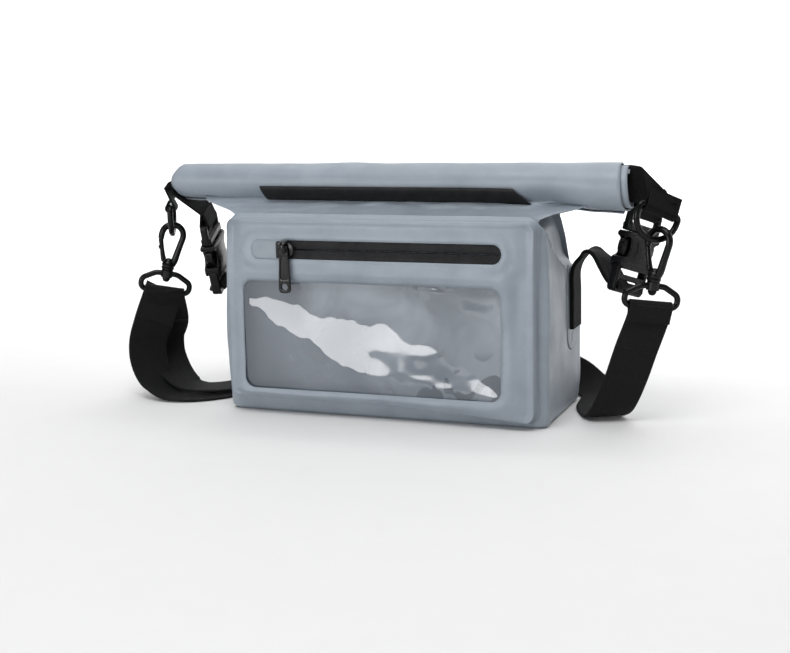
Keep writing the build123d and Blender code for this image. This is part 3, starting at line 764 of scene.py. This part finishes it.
def make_window():
    x0, x1, z0, z1, _ = WINDOW
    grow = 2.6
    xs = span(x0 - grow, x1 + grow, 260)
    rows = []
    for z in span(z0 - grow, z1 + grow, 110):
        rows.append([(x, POCKET_FRONT + 3.2 - film_height(x, z), z) for x in xs])
    film = add_mesh("window_film", *loft(rows), FILM)
    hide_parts("pocket_window")


make_window()


# -------- zip
# height off the middle line, how far the tape stands out there
ZIP_PROFILE = (
    (0.3, -0.6), (0.4, 0.25), (1.0, 0.6), (2.2, 0.62), (3.1, 0.2), (5.5, 0.1), (7.6, 0.0), (8.4, -0.3)
)


def make_zip():
    xs = span(ZIP_SLOT[0] - 2, ZIP_SLOT[1] + 2, 80)
    for name, side in (("upper", 1), ("lower", -1)):
        rows = []
        for off, out in ZIP_PROFILE:
            z = ZIP_Z + side * off
            rows.append([(x, POCKET_FRONT + 1.2 - out - pocket_height(x, z), z) for x in xs])
        shell("zip_tape_" + name, *loft(rows), TAPE, "zip_tape", ["zipper_tape_" + name], 0.8)


make_zip()

SLIDER_X = -64.5
SLIDER_FRONT = -65.2  # front of the slider's plate
PULL_PIVOT_Y = -67.6


def make_slider():
    def place(p):
        return (SLIDER_X + p[0], SLIDER_FRONT - p[2], ZIP_Z + p[1])

    shield = soft_loop([(-6.4, -5.6), (3.2, -5.2), (6.8, -2.6), (6.8, 2.6), (3.2, 5.2), (-6.4, 5.6)], 2.2)
    plate = slab(shield, [], -0.4, 1.3, 0.6)
    lip = slab(soft_loop([(-6.8, -6), (-5.0, -6), (-5.0, 6), (-6.8, 6)], 0.8), [], -1.4, 1.5, 0.4)
    arch = [(0, 5.2, 0.9), (0, 5.4, 3.0), (0, 4.2, 4.8), (0, 1.8, 5.3), (0, -1.6, 5.1)]
    bridge = rod(arch, [1.3, 1.2, 1.1, 1.0, 0.9], 1.9, up=(1, 0, 0))
    peg = rod([(0, 0, 1), (0, 0, 2.6), (0, 0, 4.2)], 1.3, up=(1, 0, 0))
    head = rod([(0, 0, z) for z in (3.9, 4.3, 5.0, 5.4)], [2.4, 2.7, 2.4, 1.2], up=(1, 0, 0))
    shapes = [plate, lip, bridge, peg, head]
    moulding("zip_slider", shapes, place, STEEL, "zip_slider", "zipper_slider")


def make_puller():
    def place(p):
        return (SLIDER_X + p[0], PULL_PIVOT_Y + 0.85 - p[2], ZIP_Z + p[1])

    outline = soft_loop(mirrored([(3.2, 3.4), (3.5, -4), (4.0, -14), (4.5, -24), (4.5, -30.4)]), 3.4, 7)
    inner = soft_loop(mirrored([(2.1, -4.5), (2.7, -13), (3.0, -20.6)]), 1.6)
    eye, end = disc(0, 0, 1.9), disc(0, -26, 2.5, 28)
    blade = slab(outline, [eye, end], 0.0, 1.5, 0.35)
    rim = slab(outline, [eye, inner, end], 0.9, 2.1, 0.45)
    moulding("zip_puller", [blade, rim], place, STEEL, "zip_puller", "zipper_puller")


make_slider()
make_puller()


# -------- roll closure
ROLL_Y = -18.0
ROLL_Z = 165.0
ROLL_TURNS = 2.6
# x, radius, axis y, axis z
ROLL_SHAPE = [
    (-174, 13.6, -18, 165.5), (-150, 14.4, -18, 165.2), (-60, 15.0, -18, 165.2),
    (60, 15.3, -18, 165.2), (120, 15.9, -18, 164.6), (150, 17.4, -18.4, 163.2),
    (172, 17.8, -18.6, 162.8),
]


def roll_point(x, turn):
    """A point on the wound cloth; turn counts from the bottom, up the back and over the front."""
    r, cy, cz = along(ROLL_SHAPE, x)
    a = 2 * pi * turn
    r -= 1.9 * turn
    left = max(-174 + 6 - x, 0) / 6
    front = bell(turn % 1 - 0.86, 0.09)
    r -= 2.2 * front * bell(x - 112, 13)
    r += 0.35 * ripple(x, a * 3, turn, 26, 5) + 0.5 * ripple(x, sin(a) * 14, cos(a) * 14, 38, 8)
    pinch = 1 - 0.36 * left ** 2
    return x, cy + r * sin(a) * (1 - 0.04 * left), cz - r * cos(a) * pinch


def make_roll():
    rows = []
    for turn in span(0, ROLL_TURNS, 150):
        right = 164.5 + 3.4 * fade(0.85, 1.1, turn) + 1.2 * turn + 1.2 * sin(2 * pi * turn + 2.2)
        rows.append([roll_point(x, turn) for x in span(-174, right, 120)])
    roll = shell("rolled_closure", *loft(rows), CLOTH, "coated_fabric", ["roll_top"], 0.8)


def make_closure_strip():
    """The black strip that shows between the roll and the neck."""
    rows = []
    for k in range(7):
        a = radians(lerp(8, 52, k / 6))
        row = []
        for x in span(-99 + 4 * k / 6, 92 + 12 * k / 6, 100):
            r, cy, cz = along(ROLL_SHAPE, x)
            r += 0.9 + 0.25 * ripple(x, k, 0, 18)
            row.append((x, cy - r * cos(a), cz - r * sin(a)))
        rows.append(row)
    strip = shell("closure_band", *loft(rows), TAPE, "closure_webbing", ["closure_strip"], 0.8)


make_roll()
make_closure_strip()


# -------- webbing
def tape_section(width, thickness):
    """Half-round edges and a slightly thinner middle, as (across, out) pairs."""
    w, t = width / 2, thickness / 2
    upper = [(w * 0.5, t * 0.86), (w - 2.2 * t, t * 0.92), (w - t, t)]
    upper = [(-x, y) for x, y in reversed(upper)] + [(0, t * 0.86)] + upper
    right = [(w - t * 0.3, t * 0.7), (w, 0), (w - t * 0.3, -t * 0.7)]
    half = upper + right
    return half + [(-x, -y) for x, y in half]


class Tape:
    """Webbing swept through stations of (centre, width direction)."""

    def __init__(self, stations, width, thickness, step=2.5, folded=False):
        """folded takes straight runs between stations and each width direction as it is, for flat folds."""
        centres = [Vector(c) for c, w in stations]
        wides = [Vector(w) if folded else Vector(w).normalized() for c, w in stations]
        for i in range(1, len(wides)):
            if wides[i].dot(wides[i - 1]) < 0:
                wides[i] = -wides[i]
        self.section = tape_section(width, thickness)
        self.rows, self.lengths, self.starts = [], [], []
        last = len(centres) - 1
        spots = []
        for i in range(last):
            count = max(int((centres[i + 1] - centres[i]).length / step), 3)
            self.starts.append(len(spots))
            spots += [i + k / count for k in range(count)]
        self.starts.append(len(spots))
        length, before = 0.0, centres[0]
        for t in spots + [last]:
            c = spline_at(centres, t)
            w, ahead = spline_at(wides, t), heading(centres, t)
            side = (w - ahead * w.dot(ahead)).normalized()
            face = side.cross(ahead)
            if folded:
                i = min(int(t), last - 1)
                c = centres[i].lerp(centres[i + 1], t - i)
                side = wides[i].lerp(wides[i + 1], t - i)
            self.rows.append([c + side * a + face * b for a, b in self.section])
            length += (c - before).length
            before = c
            self.lengths.append(length)

    def piece(self, name, made, node, slot, first=0, last=-1, body=None):
        """The tape between two stations as an object, with length and width as its UV map."""
        a, b = self.starts[first], self.starts[last] + 1
        points, faces = loft(self.rows[a:b], closed=True)
        count = len(self.section)
        faces += [tuple(range(count)), tuple(reversed(range(len(points) - count, len(points))))]
        tape = add_mesh(name, points, faces, made, body)
        for cap in (-1, -2):
            tape.data.polygons[cap].use_smooth = False
        layer = tape.data.uv_layers.new(name="UVMap")
        for loop in tape.data.loops:
            row, k = divmod(loop.vertex_index, count)
            layer.data[loop.index].uv = (self.lengths[a + row] * MM, self.section[k][0] * MM)
        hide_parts(node)
        return tape


STRAP = 30.0
STRAP_T = 1.8
UP = (0, 0, 1)
GLIDE_X, GLIDE_Y, GLIDE_Z = -30.0, 66.0, 19.0
JOIN_X = 10.0
FLAT_Y = 62.2  # the webbing's plane where it passes the adjuster
LOOP_BAR = 45.5


class Hanger:
    """Axes of a hook hanging on its D-ring."""

    def __init__(self, side, bar_mid, yaw, roll, turn, down, hook_yaw, loop_yaw):
        t, p = radians(yaw), radians(roll)
        self.side = side
        self.bar = Vector((cos(p) * cos(t), cos(p) * sin(t), -sin(p)))
        self.ring_down = Vector((-sin(p) * cos(t), -sin(p) * sin(t), -cos(p)))
        self.bar_mid = Vector(bar_mid)
        a = radians(turn)
        self.contact = self.bar_mid + self.bar * (15.2 * sin(a)) + self.ring_down * (4.8 + 15.2 * cos(a))
        self.down = Vector(down).normalized()
        self.hook_wide = self.level(hook_yaw)
        self.loop_wide = self.level(loop_yaw)

    def level(self, yaw):
        d = Vector((cos(radians(yaw)), sin(radians(yaw)), 0))
        return (d - self.down * d.dot(self.down)).normalized()

    def below(self, depth):
        return self.contact + self.down * depth


HANGERS = {
    1: Hanger(1, (190.5, -22.5, 148.3), 38, 23.5, 30, (-0.12, -0.03, -0.992), -24, 28),
    -1: Hanger(-1, (-180.5, -20.0, 145.5), 115, 0, 0, (-0.2, -0.03, -0.98), 38, 30),
}


def route(rows):
    """Stations from rows of a centre and a width direction, which is upright where it is left out."""
    return [(row[:3], row[3:] or UP) for row in rows]


RIGHT_ROUTE = route([
    (176, -24.5, 54, 0.88, 0.43, -0.2), (168.5, -23, 32, 0.88, 0.45, -0.2),
    (160, -19, 13, 0.88, 0.46, -0.12), (152, -9, 3.4, 0.88, 0.47, -0.02), (145, 5, 1.2, 0.93, 0.36, 0),
    (139, 22, 1.1, 0.98, 0.18, 0), (137, 40, 1.3, 0.99, 0.1, 0), (134.5, 57, 3.0, 0.85, 0.5, 0.1),
    (122, 69, 7.6, 0.6, 0.65, 0.4), (106, 75, 13.4, 0.25, 0.4, 0.85), (84, 74.5, 15.8, 0.05, 0.1, 1),
    (60, 70, 17), (35, 63.6, GLIDE_Z), (JOIN_X + 12, FLAT_Y, GLIDE_Z), (JOIN_X - 1, FLAT_Y, GLIDE_Z),
])
OUTER_ROUTE = route([
    (-198, -25, 58, 0.8, 0.6, -0.12), (-203.5, -26, 42, 0.68, 0.73, 0), (-202, -28, 26, 0.62, 0.78, 0),
    (-193, -31, 11.5, 0.55, 0.82, -0.1), (-179, -34, 3.6, 0.2, 0.97, 0), (-163, -30, 1.6, -0.25, 0.97, 0),
    (-150, -17, 1.2, -0.7, 0.7, 0), (-142.5, 0, 1.1, -0.95, 0.3, 0), (-139, 20, 1.1, -0.98, 0.18, 0),
    (-138, 40, 1.2, -0.99, 0.1, 0), (-134.5, 57, 3.0, -0.85, 0.5, 0.1), (-124, 71, 7.6, -0.6, 0.65, 0.4),
    (-106, 78, 13.4, -0.25, 0.4, 0.85), (-87, 73, 16.5, -0.05, 0.1, 1), (-66, 63.2, 18.6),
    (GLIDE_X - 14.0, FLAT_Y, GLIDE_Z), (JOIN_X + 1, FLAT_Y, GLIDE_Z),
])
INNER_ROUTE = route([
    (-192.5, -11, 57, 0.8, 0.6, -0.12), (-198, -8, 43, 0.68, 0.73, 0), (-196.5, -9, 29, 0.62, 0.78, 0),
    (-187, -13, 16.5, 0.55, 0.82, -0.1), (-173, -18, 8.6, 0.2, 0.97, 0), (-159, -13, 5.6, -0.4, 0.92, 0),
    (-148, -1, 4.6, -0.8, 0.6, 0), (-140.5, 12, 4.4, -0.96, 0.25, 0), (-138, 30, 4.4, -0.99, 0.12, 0),
    (-137, 46, 5.2, -0.93, 0.35, 0.1), (-130, 61.5, 9, -0.68, 0.58, 0.4),
    (-112, 68, 14.5, -0.25, 0.4, 0.85), (-90, 64.5, 17.5, -0.05, 0.1, 1), (-69, 60.2, GLIDE_Z),
    (GLIDE_X - 12.0, FLAT_Y - 2, GLIDE_Z), (GLIDE_X + 22.0, FLAT_Y - 2, GLIDE_Z),
])


def eye(centre, wide, away, r):
    """Webbing's turn round a bar, past it in the direction away, and the side that it starts on."""
    out = wide.cross(away).normalized()
    turn = []
    for k in range(9):
        a = radians(-10 + 200 * k / 8)
        turn.append((centre + out * (r * cos(a)) + away * (r * sin(a)), wide))
    return turn, out


def make_straps():
    """Each strap is cut into pieces below its top."""
    hanger = HANGERS[1]
    wide, down = hanger.loop_wide, hanger.down
    turn, out = eye(hanger.below(LOOP_BAR), wide, -down, 3.4)
    join = hanger.below(LOOP_BAR + 8)
    start = [(join + out * 1.2 + down * 3, wide), (join + out * 1.4, wide)]
    stations = start + turn + [(join - out * 0.8, wide)] + RIGHT_ROUTE
    strap = Tape(stations, STRAP, STRAP_T)
    split = len(start) + len(turn) + 1
    look = (STRAP_WEB, "shoulder_strap", "strap_webbing")
    top = strap.piece("shoulder_webbing_right_top", *look, last=split)
    low = strap.piece("shoulder_webbing_right", *look, first=split)
    joint = Vector(stations[split][0]) * MM
    hanger.below(LOOP_BAR + 4) * MM
    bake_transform(top)
    Vector(stations[split + 3][0]) * MM
    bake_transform(low)
    hanger = HANGERS[-1]
    turn, out = eye(hanger.below(LOOP_BAR), hanger.loop_wide, -hanger.down, 3.4)
    stations = list(reversed(INNER_ROUTE)) + turn + OUTER_ROUTE
    strap = Tape(stations, STRAP, STRAP_T)
    rise, fall = len(INNER_ROUTE) - 1, len(INNER_ROUTE) + len(turn)
    look = (STRAP_WEB, "strap_loop", "strap_webbing")
    inner = strap.piece("shoulder_webbing_left_inner", *look, last=rise)
    top = strap.piece("shoulder_webbing_left_top", *look, first=rise, last=fall)
    outer = strap.piece("shoulder_webbing_left_outer", *look, first=fall)
    joint = (Vector(stations[rise][0]) + Vector(stations[fall][0])) / 2 * MM
    hanger.below(LOOP_BAR + 4) * MM
    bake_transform(top)
    for layer in (inner, outer):
        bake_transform(layer)
    x, y = GLIDE_X, GLIDE_Y
    hump = ((x - 9.4, 64.2), (x - 3.2, 69.8), (x + 3.2, 69.8), (x + 9.4, 64.2))
    turn, out = eye(Vector((x, y, GLIDE_Z)), Vector(UP), Vector((1, 0, 0)), 2.1)
    round_bar = [((x - 5.5, y + 0.8, GLIDE_Z), UP)] + turn + [((x - 5.5, y - 0.8, GLIDE_Z), UP)]
    fold = Tape([((*at, GLIDE_Z), UP) for at in hump], STRAP, 1.6, 1.2)
    fold.piece("adjuster_fold", *look, body="adjuster")
    Tape(round_bar, STRAP, 1.2, 1.2).piece("adjuster_eye", *look, body="adjuster")


make_straps()

WEB = 25.0
WEB_T = 1.6


class Buckle:
    """Axes of a side-release buckle: top is the middle of the plug's bar, down its long axis."""

    def __init__(self, side, top, down, wide):
        self.side = side
        self.top = Vector(top)
        self.down = Vector(down).normalized()
        wide = Vector(wide)
        self.wide = (wide - self.down * wide.dot(self.down)).normalized()
        self.across = self.wide * side
        self.face = self.across.cross(-self.down)

    def at(self, s, n=0.0):
        return self.top + self.down * s + self.face * n

    def place(self, p):
        return self.top + self.across * p[0] - self.down * p[1] + self.face * p[2]


BUCKLES = {
    1: Buckle(1, (174.3, 12.3, 142.1), (-0.22, -0.20, -0.955), (0.477, 0.833, -0.284)),
    -1: Buckle(-1, (-157.0, -6.0, 134.0), (-0.02, 0.35, -0.94), (-0.2, 0.92, 0.34)),
}
LADDER_SLOT = 50.4
# the left tabs inside the roll, from its axis: x, y, z, and how far their width is drawn in
LEFT_TAB_RUNS = (
    ((-168, 0, 1, 0.55), (-173.5, 0, 1, 0.66), (-177.5, 0, -0.5, 0.85), (-179.8, -0.6, -4.5, 1)),
    ((-166, 0, -2, 0.55), (-173, 0, -2.6, 0.66), (-175.6, 0.6, -5, 0.85), (-174.5, 2, -9, 1)),
)


def make_tabs(side, name):
    """The webbing at one end of the roll, round the D-ring and round the plug, and the side strap."""
    hanger, buckle = HANGERS[side], BUCKLES[side]
    if side > 0:
        runs = [[((x, ROLL_Y + y, ROLL_Z), UP) for x in (150, end)] for y, end in ((-2.5, 170), (3, 173))]
    else:
        runs = [
            [((x, ROLL_Y + y, ROLL_Z + z), (0, wide, 0)) for x, y, z, wide in run] for run in LEFT_TAB_RUNS
        ]
    for part, start, centre, wide, away, rise in (
        ("_ring_tab", runs[0], hanger.bar_mid, hanger.bar, hanger.ring_down, 12.0 if side > 0 else 5.5),
        ("_buckle_tab", runs[1], buckle.top, buckle.wide, buckle.down, 11.0),
    ):
        crown = centre - away * rise
        eyes = [eye(centre, d, away, 3.35) for d in (wide, -wide)]
        turn, out = min(eyes, key=lambda made: (Vector(start[-1][0]) - made[0][0][0]).length)
        wide = turn[0][1]
        diagonal = side > 0 and part == "_ring_tab"
        if diagonal:
            start.append(((189.5, ROLL_Y - 2.5, ROLL_Z), (-1, 0, 1)))
            start.append((centre - away * 7 + out * 1.2, -wide * 1.02))
            turn = [(at, -wide) for at, _ in turn]
        else:
            start.append((crown + out * 0.9, wide))
        stations = start + turn + [(crown - out * 0.8, turn[0][1])]
        tab = Tape(stations, WEB - 0.8, WEB_T, 2.0, folded=diagonal or side < 0)
        tab.piece(name + part + "_webbing", TAB_WEB, name + part, "webbing", body="bag")
    x, y = 122.9, 22.0
    patch_top = Vector((side * x, y, 98))
    reach = buckle.at(LADDER_SLOT, -9) - patch_top
    level = (0, 1, 0)
    stations = [((side * (x + 0.2), y, z), level) for z in (59.5, 72, 86)] + [((side * x, y, 99), level)]
    arch = ((0.12, 0.1, 10.5, level), (0.38, 0.3, 17, level), (0.68, 0.6, 12.5, buckle.wide))
    for out, back, up, wide in arch:
        stations.append((patch_top + Vector((reach.x * out, reach.y * back, up)), wide))
    for down, out in ((0, -8), (0, -2.8), (0, 3.5), (3.5, 5.6)):
        stations.append((buckle.at(LADDER_SLOT + down, out), buckle.wide))
    strap = Tape(stations, WEB, 3.0, 1.8)
    piece = strap.piece(name + "_side_webbing", TAB_WEB, name + "_side_strap", "webbing")
    buckle.at(LADDER_SLOT, -5) * MM
    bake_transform(piece)


make_tabs(1, "right")
make_tabs(-1, "left")


# -------- buckles and hooks
def make_buckle(side, name):
    """The socket with its ladder, the plug, and the plug's spring arms with their ribbed barbs."""
    place = BUCKLES[side].place
    upper = [(13.5, -14.4), (16.5, -15.6), (16.5, -18.2), (12.6, -19.6), (10.6, -25.5)]
    face = soft_loop(mirrored(upper + [(12.6, -31.4), (16.5, -32.8), (16.5, -37), (15.6, -40)]), 2.2)
    mark = soft_loop(mirrored([(6.5, -20), (4.4, -25.5), (6.5, -31)]), 1.6)
    ladder = soft_loop(mirrored([(15.8, -37), (15.6, -54.6), (13.6, -56.8)]), 1.6)
    gaps = [soft_loop(mirrored([(12.6, y0), (12.6, y1)]), 1.2) for y0, y1 in ((-39.2, -43.9), (-47.8, -52.7))]
    shapes = [slab(face, [], low, low + 2.15, 0.8) for low in (3.6, -5.75)]
    shapes += [slab(mark, [], 5.3, 6.2, 0.4), slab(ladder, gaps, -3.6, 3.6, 1.0)]
    for x in (-1, 1):
        for y0, y1 in ((-14.6, -18.4), (-32.6, -37.4)):
            wall = soft_loop([(x * 14.2, y0), (x * 16.5, y0), (x * 16.5, y1), (x * 14.2, y1)], 0.8)
            shapes.append(slab(wall, [], -4.6, 4.6, 0.4))
    for y in (-17.2, -35.4):
        shapes.append(rod([(-12.4, y, 5.6), (0, y, 5.6), (12.4, y, 5.6)], 0.7, sides=8))
    moulding(name + "_buckle_socket", shapes, place, PLASTIC, name + "_socket", name + "_buckle_female")
    outline = soft_loop(mirrored([(15.2, 2.4), (16.5, 0), (16.5, -8), (15.4, -14.1)]), 1.8)
    gap = soft_loop(mirrored([(13.2, -2.3), (13.2, -7.8)]), 1.2)
    base = soft_loop(mirrored([(15.9, -8.4), (15.4, -14.1)]), 1.2)
    tongue = soft_loop(mirrored([(2, -13), (1.8, -31)]), 1.0)
    shapes = [slab(outline, [gap], -2.8, 2.8, 1.2), slab(base, [], -4.0, 4.0, 0.9)]
    shapes.append(slab(tongue, [], -1.5, 1.5, 0.5))
    moulding(name + "_buckle_plug", shapes, place, PLASTIC, "bag", name + "_buckle_male")
    corners = [(10.2, -14.5), (13.6, -18.6), (16.0, -20.8), (16.2, -27.2), (14.0, -32)]
    corners += [(11.6, -32), (11.4, -24), (7.6, -14.5)]
    for which, edge in (("front", -side), ("rear", side)):
        outline = [(edge * x, y) for x, y in corners]
        shapes = [slab(soft_loop(outline, 1.5), [], -3.0, 3.0, 0.9)]
        for y in (-22.4, -24, -25.6):
            bar = [(edge * 16.1, y, -2.3), (edge * 16.2, y, 0), (edge * 16.1, y, 2.3)]
            shapes.append(rod(bar, 0.5, sides=8, up=(0, 1, 0)))
        arm = name + "_buckle_" + which
        moulding(arm + "_prong", shapes, place, PLASTIC, name + "_" + which + "_arm", arm + "_arm")


def make_hook(side, name):
    hanger = HANGERS[side]
    wide, down = hanger.hook_wide, hanger.down
    normal = wide.cross(-down)

    def place(p):
        return hanger.contact + wide * p[0] - down * p[1] + normal * p[2]

    def stem(heights, radii, sides):
        return rod([(0, y, 0) for y in heights], radii, 1.0, sides)

    leg = [(2.6, -24.4, 0), (4.3, -20.6, 0), (5.8, -13.5, 0), (7.3, -6.5, 0)]
    dome = [(8.2 * cos(radians(a)), -1.2 + 8.2 * sin(radians(a)), 0) for a in range(0, 181, 30)]
    shapes = [rod(leg + dome + [(-8.2, -4.4, 0)], [2.8, 2.7, 2.5] + [2.4] * 8 + [2.3], 1.1)]
    shapes.append(stem((-20.8, -22.6, -24.6), [2.6, 4.2, 4.9], 20))
    shapes.append(stem((-23.0, -24.4, -25.4, -27.0, -28.2), [4.4, 5.0, 4.5, 5.0, 4.3], 20))
    shapes.append(stem((-26, -31, -36.2), 1.9, 12))
    shapes.append(stem((-34.7, -35.6, -36.4), [2.9, 3.1, 2.6], 16))
    moulding(name + "_hook_frame", shapes, place, GLOSS, name + "_hook", name + "_hook_body")
    lever = [(-8.2, -5.8, 0), (-7.1, -10, 0), (-5.7, -15.5, 0), (-4.5, -19.6, 0), (-3.9, -21.6, 0)]
    gate = rod(lever, [1.9, 1.7, 1.8, 2.1, 1.9], 1.1)
    nub = rod([(-7.2, -9.2, 0), (-8.4, -11.4, 0), (-6.4, -13.4, 0)], [0.9, 1.1, 0.9], 1.6, 10)
    pin = rod([(-3.9, -21, -2.9), (-3.9, -21, 0), (-3.9, -21, 2.9)], 1.1, 1.0, 12, up=(0, 1, 0))
    shapes = [gate, nub, pin]
    moulding(name + "_hook_lever", shapes, place, GLOSS, name + "_gate", name + "_hook_gate")


for turned, end in ((1, "right"), (-1, "left")):
    make_buckle(turned, end)
    make_hook(turned, end)


# -------- carried-over CAD pieces
FINISH = {
    "roll_stiffener": PLASTIC,
    "zipper_coil": TAPE,
    "zipper_stops": TAPE,
    "strap_adjuster": PLASTIC,
}
for end in ("left", "right"):
    for ring in ("d_ring", "swivel_ring"):
        FINISH[end + "_" + ring] = GLOSS
for name, finish in FINISH.items():
    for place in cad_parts[name].material_slots:
        place.material = finish


# -------- floor, backdrop and light
def make_studio():
    """A pale floor that curves up into a backdrop, lit softly; the world is white to the camera."""
    g = Graph("floor", (0.74, 0.74, 0.74), 0.85)
    g.colour(g.noise(40, 3), (0.73, 0.73, 0.73), (0.75, 0.75, 0.75))
    turns = [radians(90 * k / 23) for k in range(24)]
    profile = [(-2600, 0)] + [(1600 + 900 * sin(a), 900 * (1 - cos(a))) for a in turns] + [(2500, 3500)]
    points, faces = loft([[(x, y, z) for x in (-4000, 4000)] for y, z in profile])
    add_mesh("floor", points, faces, g.made, None)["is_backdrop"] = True
    middle = (0, 0, 90)
    for name, at, aim, size, power in (
        ("key", (100, -900, 1600), middle, (1.2, 0.8), 18),
        ("top", (0, 250, 1500), middle, (1.8, 1.2), 9),
        ("low_front", (-700, -1750, 330), middle, (1.3, 0.52), 12),
        ("rim", (1400, 500, 600), middle, (0.5, 1.0), 3),
        ("wash_low", (-300, 900, 1300), (-500, 2400, 200), (3.0, 0.5), 45),
        ("wash_high", (-300, 900, 2400), (-500, 2500, 1500), (3.0, 0.5), 60),
    ):
        data = bpy.data.lights.new(name, "AREA")
        data.shape = "RECTANGLE"
        data.size, data.size_y = size
        data.energy = power
        light = bpy.data.objects.new(name, data)
        light.location = Vector(at) * MM
        turn = (Vector(aim) * MM - light.location).to_track_quat("-Z", "Y")
        light.rotation_euler = turn.to_euler()
        scene.collection.objects.link(light)
    world = bpy.data.worlds.new("studio")
    world.use_nodes = True
    tree = world.node_tree
    soft = tree.nodes["Background"]
    soft.inputs["Color"].default_value = (1, 1, 1, 1)
    soft.inputs["Strength"].default_value = 0.2
    seen = tree.nodes.new("ShaderNodeBackground")
    seen.inputs["Strength"].default_value = 0.97
    path = tree.nodes.new("ShaderNodeLightPath")
    mix = tree.nodes.new("ShaderNodeMixShader")
    tree.links.new(path.outputs["Is Camera Ray"], mix.inputs["Fac"])
    tree.links.new(soft.outputs[0], mix.inputs[1])
    tree.links.new(seen.outputs[0], mix.inputs[2])
    tree.links.new(mix.outputs[0], tree.nodes["World Output"].inputs["Surface"])
    scene.world = world
    scene.view_settings.view_transform = "Standard"


make_studio()

[[list(corner) for corner in box] for box in (CAD_BOX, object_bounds())]
